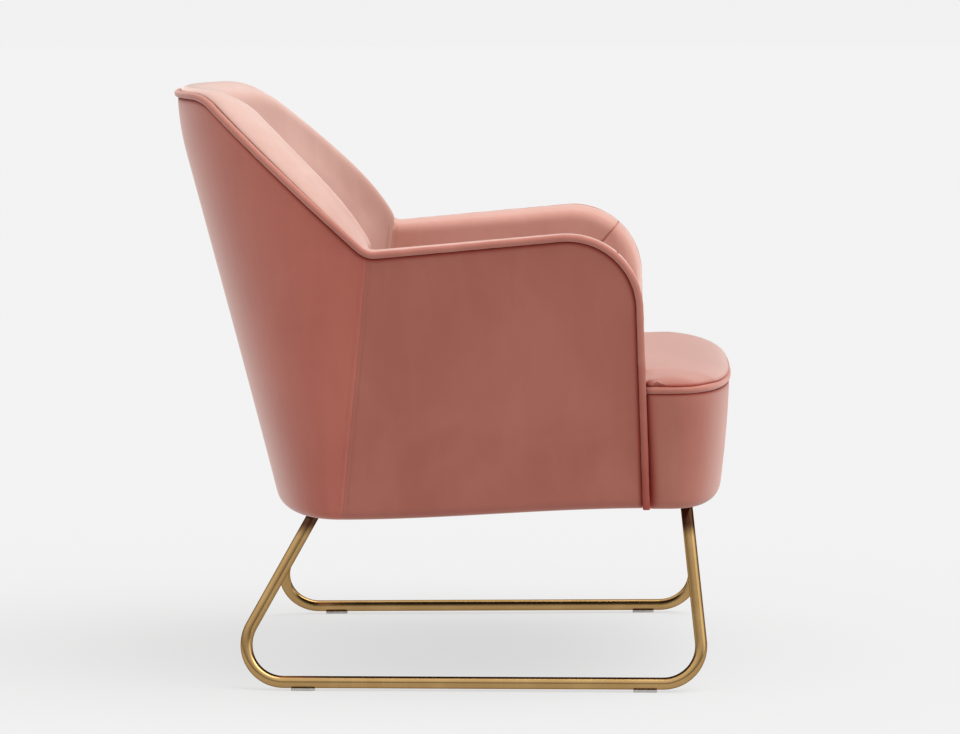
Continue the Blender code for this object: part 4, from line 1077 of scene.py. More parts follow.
def arm_chains(shown, cells):
    """The section carried along the left arm's sewn edge, flatter down the front."""
    out_of = []
    for index in range(len(cells)):
        beside = (cells[max(index - 1, 0)], cells[min(index + 1, len(cells) - 1)])
        before, after = (shown[r][c] for r, c in beside)
        on = after - before
        out_of.append(Vector((0.0, -on.z, on.y)).normalized())
    chains = {}
    for (r, c), out in zip(cells, out_of):
        start = shown[r][c] + out * EDGE_DROP
        at_seam = c == len(shown[0]) - 1
        if at_seam:
            start, out = Vector((0, 0, SEAM_TOP)), Vector((0, 0, 1))
        start.x = half_width(start.z)
        crowned = smooth_share((start.z - FLAT_BELOW) / CROWNED_OVER)
        crown = blend(FRONT_CROWN, ARM_CROWN, crowned)
        chain = []
        for inward, outward in edge_profile(ARM_THICKNESS, crown):
            point = start + out * outward - Vector((inward, 0, 0))
            if at_seam:
                point.y = seam_y(point.z) + PAD_LAP
            chain.append(point)
        chains[r, c] = chain
    return chains


INSIDE_SEAM_LINES = (0.0030, 0.0065, 0.0110, 0.0180)
MITRE_LINES = (0.0015, 0.0045, 0.0100)
ARM_UPS = graded(0.30, 0.0105, start=(0.004, 0.010), end=MITRE_LINES)
ARM_OVERS = graded(0.36, 0.0105, start=MITRE_LINES, end=INSIDE_SEAM_LINES)
TOP_ROW, SEAM_COLUMN = len(ARM_UPS) - 1, len(ARM_OVERS) - 1
ARM_CELLS = [(r, 0) for r in range(TOP_ROW + 1)] + [(TOP_ROW, c) for c in range(1, SEAM_COLUMN + 1)]


HIDDEN_DROP = 0.004  # the pads' hidden faces reach up to this far inside the sewn edge


def pad_floor(_):
    return PAD_FLOOR


ARM_HIDDEN = arm_patch(HIDDEN_DEPTH, HIDDEN_DROP, pad_floor, ARM_UPS, ARM_OVERS)
ARM_SHOWN = arm_patch(ARM_THICKNESS, EDGE_DROP, pad_floor, ARM_UPS, ARM_OVERS)
ARM_CHAINS = arm_chains(ARM_SHOWN, ARM_CELLS)
SEAM_SECTION = [
    (half_width(SEAM_TOP) - point.x, point.z - SEAM_TOP) for point in ARM_CHAINS[TOP_ROW, SEAM_COLUMN]
]


def arm_pad(side, sign):
    shape, loose = closed_bag(ARM_HIDDEN, ARM_SHOWN, ARM_CHAINS, [SEAM_COLUMN])
    bmesh.ops.scale(shape, vec=(sign, 1, 1), verts=shape.verts[:])
    bmesh.ops.recalc_face_normals(shape, faces=shape.faces[:])
    pad = new_piece("arm_pad_" + side, shape, VELVET_INSIDE)
    swell(pad, loose, 0.005, 0.05)
    smoothed(pad, 2)
    return settled(pad)


DART_LENGTH, DART_DEPTH, DART_WIDTH, DART_SHADE = 0.075, 0.0018, 0.0013, 0.35


def mitred(pad):
    """Presses a short sewn dart into the corner where the arm's top turns down its front, with painted
    shade in its groove.
    """
    corner = EDGE_PATH[FRONT_TURN]
    on = (EDGE_PATH[FRONT_TURN + 1] - EDGE_PATH[FRONT_TURN - 1]).normalized()
    inward = Vector((on.y, -on.x))
    normals = [vert.normal.copy() for vert in pad.data.vertices]
    # The dart's groove gets painted shade through the per-point shade value.
    marks = pad.data.attributes.new("crease", "FLOAT", "POINT")
    for vert, normal in zip(pad.data.vertices, normals):
        away = Vector((vert.co.y, vert.co.z)) - corner
        beside, along_dart = away.dot(on), away.dot(inward)
        fade = 1 - smooth_share((along_dart - DART_LENGTH / 2) / (DART_LENGTH / 2))
        press = fade * hollow(beside, DART_WIDTH)
        vert.co -= normal * (DART_DEPTH * press)
        marks.data[vert.index].value = DART_SHADE * press
    return pad


ARM_PADS = {side: mitred(arm_pad(side, sign)) for side, sign in SIDES}
for side, pad in ARM_PADS.items():
    print(pad.name, len(pad.data.polygons), "faces")

# %% The inside back
def back_pad():
    turns = both_ways(graded(HALF_GIRTH, 0.0135, start=INSIDE_SEAM_LINES))
    ups = graded(0.50, 0.014, start=(0.005, 0.012))
    hidden = back_patch(HIDDEN_DEPTH, HIDDEN_DROP, PAD_FLOOR, ups, turns)
    shown = back_patch(ARM_THICKNESS, EDGE_DROP, PAD_FLOOR, ups, turns, inner=True)
    chains = {}
    top, step = len(ups) - 1, 0.008
    for column, (turn, side) in enumerate(turns):
        point = edge_point(turn)
        low, high = edge_point(max(turn - step, 0.0)), edge_point(min(turn + step, 1.0))
        if turn == 1:
            high = mirrored_point(low, -1)
        inner = back_point(turn, point.z, ARM_THICKNESS, BACK_THICKNESS_TOP, inner_form(point.z))
        across = inner - point
        out = (high - low).cross(across)
        out = (out if out.z > 0 else -out).normalized()
        crown = blend(ARM_CROWN, BACK_CROWN, smooth_share(2 * turn))
        profile = edge_profile(across.length, crown)
        foot = point + out * profile[-1][1] + across
        thick, form = back_thickness(foot.z), inner_form(foot.z)
        sloped = back_point(turn, foot.z, ARM_THICKNESS, thick, form) - foot
        chain = []
        for (inward, outward), (seam_in, seam_up) in zip(profile, SEAM_SECTION):
            place = point + out * outward + across.normalized() * inward
            place += sloped * (inward / across.length) ** 3
            beside = point + across.normalized() * seam_in + Vector((0, 0, seam_up))
            place = place.lerp(beside, near_seam(turn))
            if turn == 0:
                place.y = seam_y(place.z) - PAD_LAP
            if turn == 1:
                place.x = 0.0
            chain.append(mirrored_point(place, side))
        chains[top, column] = chain
    shape, loose = closed_bag(hidden, shown, chains, [0, len(turns) - 1])
    pad = new_piece("back_pad", shape, VELVET_INNER_BACK)
    swell(pad, loose, 0.010, 0.07)
    smoothed(pad, 2)
    return settled(pad)


BACK_PAD = back_pad()
print(BACK_PAD.name, len(BACK_PAD.data.polygons), "faces")

# %% [markdown]
# ## Welts, by Geometry Nodes
# A welt is a cord wrapped in a strip of the same velvet and sewn into a seam. It follows a
# path, and following a path is what Geometry Nodes do best: a profile circle is swept along
# the line, a soft noise makes it swell and pinch a little as hand-fed cord does, and its
# length and turn are kept as a UV map. One tree makes both welts and the brass tubes too, with
# other sizes and another finish plugged into its inputs.

# %% A tree that sweeps a round section along a line
class Tree:
    """A Geometry Nodes tree whose inputs have names and are set by their identifiers."""

    def __init__(self, name, **inputs):
        self.tree = bpy.data.node_groups.new(name, "GeometryNodeTree")
        face = self.tree.interface
        face.new_socket("Geometry", in_out="INPUT", socket_type="NodeSocketGeometry")
        self.keys = {}
        for label, kind in inputs.items():
            made = face.new_socket(
                label.replace("_", " "), in_out="INPUT", socket_type="NodeSocket" + kind
            )
            self.keys[label] = made.identifier
        face.new_socket("Geometry", in_out="OUTPUT", socket_type="NodeSocketGeometry")
        self.inputs = self.tree.nodes.new("NodeGroupInput").outputs
        self.end = self.tree.nodes.new("NodeGroupOutput").inputs[0]

    def __getitem__(self, label):
        return self.inputs[label.replace("_", " ")]

    def node(self, kind, settings=None, values=None, out=0):
        made = self.tree.nodes.new(kind)
        for name, value in (settings or {}).items():
            setattr(made, name, value)
        for name, value in (values or {}).items():
            if isinstance(value, bpy.types.NodeSocket):
                self.tree.links.new(value, made.inputs[name])
            else:
                made.inputs[name].default_value = value
        return made.outputs[out]

    def close(self, geometry, material):
        real = self.node("GeometryNodeRealizeInstances", values={0: geometry})
        coloured = self.node("GeometryNodeSetMaterial", values={"Geometry": real, "Material": material})
        self.tree.links.new(coloured, self.end)

    def grow(self, name, source, **values):
        """Runs the tree on a source mesh and gives the plain mesh it makes."""
        piece = bpy.data.objects.new(name, source)
        scene.collection.objects.link(piece)
        grown = piece.modifiers.new("grown", "NODES")
        grown.node_group = self.tree
        for label, value in values.items():
            grown[self.keys[label]] = value
        return settled(piece)


sweep = Tree(
    "sweep_along_line", Radius="Float", Spacing="Float", Sides="Int",
    Unevenness="Float", Unevenness_size="Float", Material="Material",
)
line = sweep.node("GeometryNodeMeshToCurve", values={0: sweep["Geometry"]})
line = sweep.node(
    "GeometryNodeResampleCurve", {"mode": "LENGTH"}, {"Curve": line, "Length": sweep["Spacing"]}
)
length = sweep.node("GeometryNodeSplineParameter", out="Length")
line = sweep.node(
    "GeometryNodeStoreNamedAttribute", {"data_type": "FLOAT", "domain": "POINT"},
    {"Geometry": line, "Name": "run", "Value": length},
)
circle = sweep.node(
    "GeometryNodeCurvePrimitiveCircle", values={"Resolution": sweep["Sides"], "Radius": sweep["Radius"]}
)
turn = sweep.node("GeometryNodeSplineParameter", out="Factor")
circle = sweep.node(
    "GeometryNodeStoreNamedAttribute", {"data_type": "FLOAT", "domain": "POINT"},
    {"Geometry": circle, "Name": "round", "Value": turn},
)
tube = sweep.node(
    "GeometryNodeCurveToMesh", values={"Curve": line, "Profile Curve": circle, "Fill Caps": True}
)
bulges = sweep.node(
    "ShaderNodeTexNoise", values={"Scale": sweep["Unevenness_size"], "Detail": 1.0}, out="Fac"
)
centred = sweep.node("ShaderNodeMath", {"operation": "SUBTRACT"}, {0: bulges, 1: 0.5})
amount = sweep.node("ShaderNodeMath", {"operation": "MULTIPLY"}, {0: centred, 1: sweep["Unevenness"]})
normal = sweep.node("GeometryNodeInputNormal")
push = sweep.node("ShaderNodeVectorMath", {"operation": "SCALE"}, {0: normal, "Scale": amount})
tube = sweep.node("GeometryNodeSetPosition", values={"Geometry": tube, "Offset": push})
tube = sweep.node("GeometryNodeSetShadeSmooth", values={"Geometry": tube, "Shade Smooth": True})
sweep.close(tube, sweep["Material"])
print("sweep inputs:", list(sweep.keys))


# %% Lines and their UV maps
def line_mesh(name, points):
    mesh = bpy.data.meshes.new(name)
    mesh.from_pydata(points, [(a, a + 1) for a in range(len(points) - 1)], [])
    return mesh


def unwrap_tube(piece):
    """Turns the kept length and turn into a UV map, closed across the last face of each ring."""
    mesh = piece.data
    run, round_ = (mesh.attributes[name].data for name in ("run", "round"))
    layer = mesh.uv_layers.new(name="UVMap")
    for face in mesh.polygons:
        turns = [round_[mesh.loops[loop].vertex_index].value for loop in face.loop_indices]
        wraps = max(turns) - min(turns) > 0.5
        for loop, turn in zip(face.loop_indices, turns):
            spot = mesh.loops[loop].vertex_index
            layer.data[loop].uv = (run[spot].value, turn + 1.0 if wraps and turn < 0.5 else turn)
    for name in ("run", "round"):
        mesh.attributes.remove(mesh.attributes[name])
    return piece


def closed_normals(piece):
    shape = bmesh.new()
    shape.from_mesh(piece.data)
    bmesh.ops.remove_doubles(shape, verts=shape.verts[:], dist=0.00001)
    bmesh.ops.recalc_face_normals(shape, faces=shape.faces[:])
    shape.to_mesh(piece.data)
    shape.free()
    return piece


def welt(name, points, radius, unevenness=0.0009):
    values = {"Radius": radius, "Spacing": 0.0035, "Sides": 20, "Unevenness": unevenness}
    values |= {"Unevenness_size": 70.0, "Material": VELVET_CORD}
    return unwrap_tube(closed_normals(sweep.grow(name, line_mesh(name, points), **values)))


# %% The welt round the shell
def shell_edge():
    """The sewn edge from the left arm's foot to the middle of the back."""
    arm = [Vector((half_width(z), y, z)) for y, z in along(EDGE_PATH[: SEAM_TURN + 1], even(160))]
    return arm[:-1] + [edge_point((step / 150) ** 1.3) for step in range(151)]


SHELL_LINE = whole_way(shell_edge())
SHELL_WELT = welt("welt_round_shell", SHELL_LINE, WELT_RADIUS)
hand_over(SHELL_WELT, "velvet", "shell_welt")
print(SHELL_WELT.name, len(SHELL_WELT.data.polygons), "faces")

# %% [markdown]
# ## Seat
# The seat is one deep pad shaped like a T in plan: narrow between the arms, and as wide as the
# chair in front of them. Its front is bowed and its top is crowned, and it rolls over to a
# welt that runs round the nose. The top is laid out as a grid whose height depends only on how
# far a point is from the nose's rim, so the roll is even all the way round. It is closed below
# and blown up like the other pads. The band under the welt is a plain strip of velvet pulled
# round the front rail.

# %% Plan of the seat
SEAT_HALF_WIDTH, SEAT_FRONT = 0.338, -0.3775
NOSE_STRAIGHT, NOSE_FORM, NOSE_CORNER = -0.285, 3.0, 0.009
NOSE_TUCK = 0.0024  # the nose is pushed in this far under the arms' welt
WELT_HEIGHT = 0.397
SEAT_LOW, SEAT_CROWN, CROWN_REACH = 0.4015, 0.0205, 0.090
SEAT_BOTTOM = 0.3502
DECK_EDGE = 0.2815
SEAT_FREE = 0.0006  # between the seat's rear edge and the inside back


def nose_rear(z):
    """The nose ends at the arms' fronts, pushed in under their welt."""
    share = (z - SHELL_FLOOR_FRONT) / (ARM_TOP_FRONT - SHELL_FLOOR_FRONT)
    return blend(ARM_FRONT_FOOT, ARM_FRONT, share) - NOSE_TUCK


NOSE_REAR = nose_rear(WELT_HEIGHT)


def nose_point(turn, draw=0.0):
    """The nose's plan from its side (turn 0) to the middle (turn 1), drawn in by draw."""
    angle = turn * pi / 2
    power = 2 / NOSE_FORM
    x = (SEAT_HALF_WIDTH - draw) * (max(cos(angle), 0.0) ** power if turn < 1 else 0.0)
    reach = NOSE_STRAIGHT - SEAT_FRONT - draw
    return Vector((x, NOSE_STRAIGHT - reach * sin(angle) ** power, 0.0))


def inside_back_y(x, z, clearance):
    """How far back the seat may reach, short of the inside back."""
    across = half_width(z) - ARM_THICKNESS - clearance
    start = seam_y(z) - clearance
    reach = back_y(z) - back_thickness(z) - clearance - start
    return start + reach * max(1 - min(abs(x) / across, 1.0) ** CORNER_FORM, 0.0) ** (1 / CORNER_FORM)


NOSE_TURNS = [0.0, 0.02, 0.045, 0.075, 0.11, 0.15, 0.20, 0.26]


def turn_at(x):
    """The turn at which the nose's plan lies this far across."""
    return float(np.arccos(min((x / SEAT_HALF_WIDTH) ** (NOSE_FORM / 2), 1.0)) / (pi / 2))


def seat_columns():
    """Turns of the nose, from its side inwards, with one at the arm's inner face."""
    side = [turn for turn in NOSE_TURNS if turn < turn_at(DECK_EDGE) - 0.02]
    deck = [DECK_EDGE * (1 - share) for share in (0.0, 0.02, 0.05)]
    deck += [DECK_EDGE * 0.95 * (1 - share) for share in even(20)][1:]
    return side, [turn_at(x) for x in deck]


def round_corner(side, rear, turns):
    """The nose's rounded rear corner in plan, from its rear edge to its side."""
    angles = [radians(turn) for turn in turns]
    return [
        (side - NOSE_CORNER * (1 - cos(angle)), rear - NOSE_CORNER * (1 - sin(angle))) for angle in angles
    ]


NOSE_PLAN = [tuple(nose_point(step / 200)[:2]) for step in range(201)]
RIM = [(SEAT_HALF_WIDTH - 0.016, NOSE_REAR)] + round_corner(SEAT_HALF_WIDTH, NOSE_REAR, (90, 60, 30, 0))
RIM = np.array(RIM + NOSE_PLAN)
RIM = np.vstack([RIM, RIM[::-1] * (-1, 1)])


def nose_end(x):
    """Where the nose's rounded rear corner lies at one place across."""
    past = max(abs(x) - SEAT_HALF_WIDTH + NOSE_CORNER, 0.0)
    return NOSE_REAR - NOSE_CORNER + sqrt(max(NOSE_CORNER**2 - past**2, 0.0))


SINK_BESIDE, SINK_BEHIND = (0.38, 0.030), (0.45, 0.040)  # shares of the crown, and their reaches


def seat_height(x, y):
    """The crown rises from the nose's rim, and sinks again where the seat meets arms and back."""
    away = sqrt(((RIM - (x, y)) ** 2).sum(1).min())
    rise = sqrt(1 - (1 - min(away / CROWN_REACH, 1.0)) ** 2)
    beside = max(DECK_EDGE - abs(x), 0.0) / SINK_BESIDE[1]
    behind = max(inside_back_y(x, SEAT_LOW, 0.0) - y, 0.0) / SINK_BEHIND[1]
    under_arm = smooth_share((y - NOSE_REAR) / 0.05 + 0.25)
    sink = SINK_BESIDE[0] * max(1 - beside, 0.0) ** 2 * under_arm
    sink += SINK_BEHIND[0] * max(1 - behind, 0.0) ** 2
    return SEAT_LOW + SEAT_CROWN * rise * (1 - min(sink, 0.6))


# %% Laying out the seat pad
NOSE_ROWS = (0.0, 0.012, 0.035, 0.075, 0.13, 0.20, 0.29, 0.40, 0.52, 0.65, 0.78, 0.90, 1.0)
DECK_ROWS = graded(0.46, 0.014, start=(0.006, 0.014), end=(0.005, 0.013))


def seat_top():
    """Points of the top by (column, row), and its faces as cells."""
    side, deck = seat_columns()
    half = side + deck
    columns = [(turn, 1) for turn in half] + [(turn, -1) for turn in reversed(half[:-1])]
    first_deck, last_deck = len(side), len(columns) - 1 - len(side)
    places = {}
    for column, (turn, sign) in enumerate(columns):
        front = nose_point(turn)
        x = front.x * sign
        ys = [blend(front.y, nose_end(x), share) for share in NOSE_ROWS]
        if first_deck <= column <= last_deck:
            rear = inside_back_y(x, SEAT_LOW, SEAT_FREE)
            ys += [blend(NOSE_REAR, rear, share) for share in DECK_ROWS[1:]]
        for row, y in enumerate(ys):
            places[column, row] = Vector((x, y, seat_height(x, y)))
    cells = []
    for column, row in places:
        corners = [(column, row), (column + 1, row), (column + 1, row + 1), (column, row + 1)]
        if all(corner in places for corner in corners):
            cells.append(corners)
    return places, cells


def drawn_in(point, draw):
    """A point of the seat's outline moved inwards, on the nose only."""
    if abs(point.x) <= DECK_EDGE + 0.0005 and point.y > NOSE_STRAIGHT:
        return point
    x = point.x * (1 - draw / SEAT_HALF_WIDTH)
    reach = NOSE_STRAIGHT - SEAT_FRONT
    if point.y < NOSE_STRAIGHT:
        return Vector((x, NOSE_STRAIGHT + (point.y - NOSE_STRAIGHT) * (1 - draw / reach), point.z))
    share = (point.y - NOSE_STRAIGHT) / (NOSE_REAR - NOSE_STRAIGHT)
    return Vector((x, point.y - draw * share, point.z))


WALLS = ((0.0030, SEAT_LOW - 0.003), (0.0052, 0.390), (0.0055, 0.372), (0.0055, SEAT_BOTTOM))


def seat_pad():
    """Walls go down from the top's rim, each drawn in to a depth at a height, to a closed floor."""
    places, cells = seat_top()
    shape = bmesh.new()
    top = {key: shape.verts.new(point) for key, point in places.items()}
    for corners in cells:
        shape.faces.new([top[corner] for corner in corners])
    shape.verts.index_update()
    rim = {vert for edge in shape.edges if edge.is_boundary for vert in edge.verts}
    loose = {vert.index for vert in shape.verts if vert not in rim}
    walls = [edge for edge in shape.edges if edge.is_boundary]
    below = top
    for draw, height in WALLS:
        made = {}
        for key, point in places.items():
            if top[key] not in rim and height > SEAT_BOTTOM:
                continue
            place = drawn_in(point, draw)
            free = SEAT_FREE if top[key] in rim else 0.02
            rear = inside_back_y(place.x, height, free)
            made[key] = shape.verts.new((place.x, min(place.y, rear), height))
        upper = {top[key]: below[key] for key in made if top[key] in rim}
        lower = {top[key]: made[key] for key in made if top[key] in rim}
        for edge in walls:
            a, b = edge.verts
            shape.faces.new((upper[a], upper[b], lower[b], lower[a]))
        below = {**below, **made}
    for corners in cells:
        shape.faces.new([below[corner] for corner in corners])
    bmesh.ops.recalc_face_normals(shape, faces=shape.faces[:])
    pad = new_piece("seat_pad", shape, VELVET_SEAT)
    swell(pad, loose, 0.009, 0.06)
    smoothed(pad, 2)
    return settled(pad)


SEAT_PAD = seat_pad()
print(SEAT_PAD.name, len(SEAT_PAD.data.polygons), "faces")

# %% The band round the seat's front, and its welt
BAND_TOP = WELT_HEIGHT - TUCK_DROP
BAND_FLOOR = 0.238
BAND_TAPER, BAND_ROLL = 0.013, 0.012


def band_draw(z):
    return BAND_TAPER * max((BAND_TOP - z) / (BAND_TOP - BAND_FLOOR), 0.0) ** 1.5


def nose_line(draw, z):
    """The nose's plan at one height, from one arm round to the other."""
    turns = graded(0.40, 0.009, start=(0.006, 0.013))
    half = [nose_point(turn, draw) for turn in turns]
    side, rear = half[0].x, nose_rear(z)
    around = [(side - 0.040, rear), (side - 0.020, rear)]
    around += round_corner(side, rear, (90, 67, 45, 22, 0))
    half = [Vector((x, y, 0)) for x, y in around] + half
    return [Vector((point.x, point.y, z)) for point in whole_way(half)]


def front_band():
    lift = TURNED_UNDER - BAND_FLOOR
    full = BAND_TAPER + BAND_ROLL
    under = ((full + 0.016, lift), (full + 0.012, lift - 0.0004), (full + 0.006, 0.35 * lift))
    rows = [nose_line(draw, BAND_FLOOR + above) for draw, above in under]
    for turn in ROLL_TURNS:
        angle = radians(turn)
        z = BAND_FLOOR + BAND_ROLL * (1 - sin(angle))
        rows.append(nose_line(band_draw(z) + BAND_ROLL * (1 - cos(angle)), z))
    for share in graded(BAND_TOP - BAND_FLOOR - BAND_ROLL, 0.012, end=(0.004, 0.010)):
        z = blend(BAND_FLOOR + BAND_ROLL, BAND_TOP, share)
        rows.append(nose_line(band_draw(z), z))
    for drop, depth in TUCK:
        rows.append(nose_line(depth, WELT_HEIGHT - drop))
    shape = bmesh.new()
    weave_rows(shape, rows)
    facing(shape, (0, -1, 0))
    band = new_piece("front_band", shape, VELVET_BAND)
    thickened(band, CLOTH)
    smoothed(band, 2)
    return settled(band)


FRONT_BAND = hand_over(front_band(), "velvet", "front_band_cover")
WELT_SUNK = 0.0024  # the cord lies this far inside the nose's plan


def seat_line():
    side, rear = SEAT_HALF_WIDTH - WELT_SUNK, NOSE_REAR - WELT_SUNK
    plan = [(side - 0.022, rear + 0.001)] + round_corner(side, rear, range(90, -1, -10))
    plan += [tuple(nose_point(step / 90, WELT_SUNK)[:2]) for step in range(91)]
    return whole_way([Vector((x, y, WELT_HEIGHT)) for x, y in plan])


SEAT_LINE = seat_line()
SEAT_WELT = welt("welt_round_seat", SEAT_LINE, 0.0047)
hand_over(SEAT_WELT, "velvet", "seat_welt")
print(FRONT_BAND.name, len(FRONT_BAND.data.polygons), "faces;", SEAT_WELT.name)

# %% [markdown]
# ## Painted shade in the creases
# Shade gathers in the narrow creases beside the welts and where the seat's band tucks in beside
# the arms' fronts, and here it is painted in. The covers and the pads carry one number per point
# that says how near such a line it is. The material reads it, darkens the colour and mixes in a shader
# with no sheen.

# %% Nearness to the welts
MARK_STEP = 0.0015
REACH_OUTSIDE, REACH_INSIDE, REACH_SEAT, REACH_BESIDE = 0.0036, 0.0012, 0.0026, 0.0075


def mark_crease_shade(piece, lines, reach):
    """Stores the share of painted shade: 1 on a seam line, fading out over reach."""
    spots = []
    for line in lines:
        length = sum((b - a).length for a, b in zip(line, line[1:]))
        spots += along(line, even(round(length / MARK_STEP)))
    finder = KDTree(len(spots))
    for index, spot in enumerate(spots):
        finder.insert(spot, index)
    finder.balance()
    mesh = piece.data
    marks = mesh.attributes.get("crease") or mesh.attributes.new("crease", "FLOAT", "POINT")
    for vert, mark in zip(mesh.vertices, marks.data):
        away = max(finder.find(vert.co)[2] - WELT_RADIUS, 0.0)
        mark.value = max(mark.value, exp(-((away / reach) ** 2)))


for piece in (*ARM_PANELS.values(), BACK_PANEL):
    mark_crease_shade(piece, [SHELL_LINE], REACH_OUTSIDE)
for piece in (*ARM_PADS.values(), BACK_PAD):
    mark_crease_shade(piece, [SHELL_LINE], REACH_INSIDE)
# Painted shadow where the band tucks in beside the arms' fronts, on the band, the seat, the welt and the
# arm pads.
beside_arms = [
    [
        Vector((sign * (SEAT_HALF_WIDTH - 0.008), nose_rear(z) + 0.002, z))
        for z in (BAND_FLOOR, SEAT_LOW + SEAT_CROWN)
    ]
    for _, sign in SIDES
]
for piece in (FRONT_BAND, SEAT_PAD):
    mark_crease_shade(piece, [SEAT_LINE], REACH_SEAT)
for piece in (FRONT_BAND, SEAT_PAD, SHELL_WELT, *ARM_PADS.values()):
    mark_crease_shade(piece, beside_arms, REACH_BESIDE)
print("creases marked")

# %% [markdown]
# ## Stitches, by Geometry Nodes
# Each upright seam is topstitched: one row of thread on either side, sunk into the cloth. A
# stitch is nothing but a small bead of thread, the same one hundreds of times, so it is made
# once as a low sphere, stretched, and set on evenly spaced points of a line, turned to follow
# it. The line is first laid on the cloth by looking for the nearest point of the finished
# mesh. A seed gives every stitch its own slight difference in length.

# %% A tree that sets stitches along a line
stitching = Tree(
    "stitches_along_line", Pitch="Float", Stitch_length="Float", Thread_radius="Float",
    Seed="Int", Material="Material",
)
line = stitching.node("GeometryNodeMeshToCurve", values={0: stitching["Geometry"]})
line = stitching.node(
    "GeometryNodeResampleCurve", {"mode": "LENGTH"}, {"Curve": line, "Length": stitching["Pitch"]}
)
bead = stitching.node(
    "GeometryNodeMeshUVSphere", values={"Segments": 6, "Rings": 5, "Radius": 1.0}
)
bead = stitching.node("GeometryNodeSetShadeSmooth", values={"Geometry": bead, "Shade Smooth": True})
tangent = stitching.node("GeometryNodeInputTangent")
turned = stitching.node(
    "FunctionNodeAlignRotationToVector", {"axis": "Z"}, {"Vector": tangent}
)
vary = stitching.node(
    "FunctionNodeRandomValue", {"data_type": "FLOAT"}, {2: 0.85, 3: 1.1, "Seed": stitching["Seed"]}, out=1
)
reach = stitching.node(
    "ShaderNodeMath", {"operation": "MULTIPLY"}, {0: stitching["Stitch_length"], 1: vary}
)
reach = stitching.node("ShaderNodeMath", {"operation": "MULTIPLY"}, {0: reach, 1: 0.5})
size = stitching.node(
    "ShaderNodeCombineXYZ",
    values={0: stitching["Thread_radius"], 1: stitching["Thread_radius"], 2: reach},
)
set_out = stitching.node(
    "GeometryNodeInstanceOnPoints",
    values={"Points": line, "Instance": bead, "Rotation": turned, "Scale": size},
)
stitching.close(set_out, stitching["Material"])


def surface_of(*meshed):
    """A search tree over finished pieces."""
    points, faces = [], []
    for piece in meshed:
        first = len(points)
        points += [vert.co.copy() for vert in piece.data.vertices]
        faces += [[first + corner for corner in face.vertices] for face in piece.data.polygons]
    return BVHTree.FromPolygons(points, faces)


def laid_on(surface, points, lift):
    """The points moved to the surface, and lifted off it a little."""
    laid = []
    for point in points:
        place, normal, _, _ = surface.find_nearest(point)
        laid.append(place + normal * lift)
    return laid


def stitched(name, points, seed):
    values = {"Pitch": 0.0042, "Stitch_length": 0.0034, "Thread_radius": 0.00042}
    values |= {"Seed": seed, "Material": THREAD}
    return stitching.grow(name, line_mesh(name, points), **values)


print("stitching inputs:", list(stitching.keys))

# %% Rows of stitches beside the upright seams
def up_seam(depth, low, high, sign, away):
    """A line up a side seam, set away from it: in front for the arm, behind for the back."""
    heights = [blend(low, high, share) for share in even(60)]
    return [Vector((sign * (half_width(z) - depth), seam_y(z) + away, z)) for z in heights]


STITCH_FOOT, STITCH_SEAT = 0.240, 0.435  # outside the rows start at the foot, inside at the seat
BACK_STEP = 0.0002  # the back's rows start this little further in than the arms'


back_surface, inside_surface = surface_of(BACK_PANEL), surface_of(BACK_PAD)
for seed, (side, sign) in enumerate(SIDES):
    outer_top, inner_top = SEAM_TOP - 0.011, SEAM_TOP - 0.004
    rows = {
        "outside_arm": (surface_of(ARM_PANELS[side]), 0, STITCH_FOOT, outer_top, -STITCH_AWAY),
        "outside_back": (back_surface, BACK_STEP, STITCH_FOOT, outer_top, STITCH_AWAY),
        "inside_arm": (surface_of(ARM_PADS[side]), ARM_THICKNESS, STITCH_SEAT, inner_top, -STITCH_AWAY),
        "inside_back": (inside_surface, ARM_THICKNESS + BACK_STEP, STITCH_SEAT, inner_top, STITCH_AWAY),
    }
    for where, (surface, depth, low, high, away) in rows.items():
        line = laid_on(surface, up_seam(depth, low, high, sign, away), 0.0001)
        piece = stitched(f"stitches_{where}_{side}", line, seed)
        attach(piece, "root")
        print(piece.name, len(piece.data.polygons), "faces")

# %% Attaching the pads and hiding their CAD nodes
for side, sign in SIDES:
    pad = hand_over(ARM_PADS[side], "velvet", "inside_arm_cover_" + side, "arm_foam_" + side)
hand_over(BACK_PAD, "velvet", "inside_back_cover", "back_foam")
hand_over(SEAT_PAD, "velvet", "seat_cover", "seat_foam")

# %% [markdown]
# ## The sled base
# Each side stands on one loop of tube: down in front, back along the floor and up again. The
# sweep tree makes it from a line of straight runs and round bends. Its ends are cut level
# where they meet their plates, and a bead of weld closes the joint. The plates have rounded
# corners and two button-headed bolts each, which another small tree sets out on points.

# %% Brass loops
TUBE_RADIUS, GLIDE_UNDER, BEND_RADIUS = 0.008, 0.003, 0.050
GLIDE_TOP = 0.0034  # the glides' shoulders, a little above the tube's underside
RUNNER_FRONT_X, RUNNER_REAR_X = 0.3458, 0.3302
RUNNER_FRONT, RUNNER_REAR = -0.3400, 0.2995
LEG_TOP_X, LEG_FRONT_TOP, LEG_REAR_TOP = 0.272, -0.3160, 0.1700
PLATE_FLOOR = 0.2400
RUNNER_Z = GLIDE_UNDER + TUBE_RADIUS


def loop_corners():
    corners = [
        Vector((LEG_TOP_X, LEG_FRONT_TOP, PLATE_FLOOR)),
        Vector((RUNNER_FRONT_X, RUNNER_FRONT, RUNNER_Z)),
        Vector((RUNNER_REAR_X, RUNNER_REAR, RUNNER_Z)),
        Vector((LEG_TOP_X, LEG_REAR_TOP, PLATE_FLOOR)),
    ]
    for end, beside in ((0, 1), (3, 2)):
        leg = corners[end] - corners[beside]
        corners[end] = corners[beside] + leg * ((PLATE_FLOOR + 0.02 - RUNNER_Z) / leg.z)
    return corners


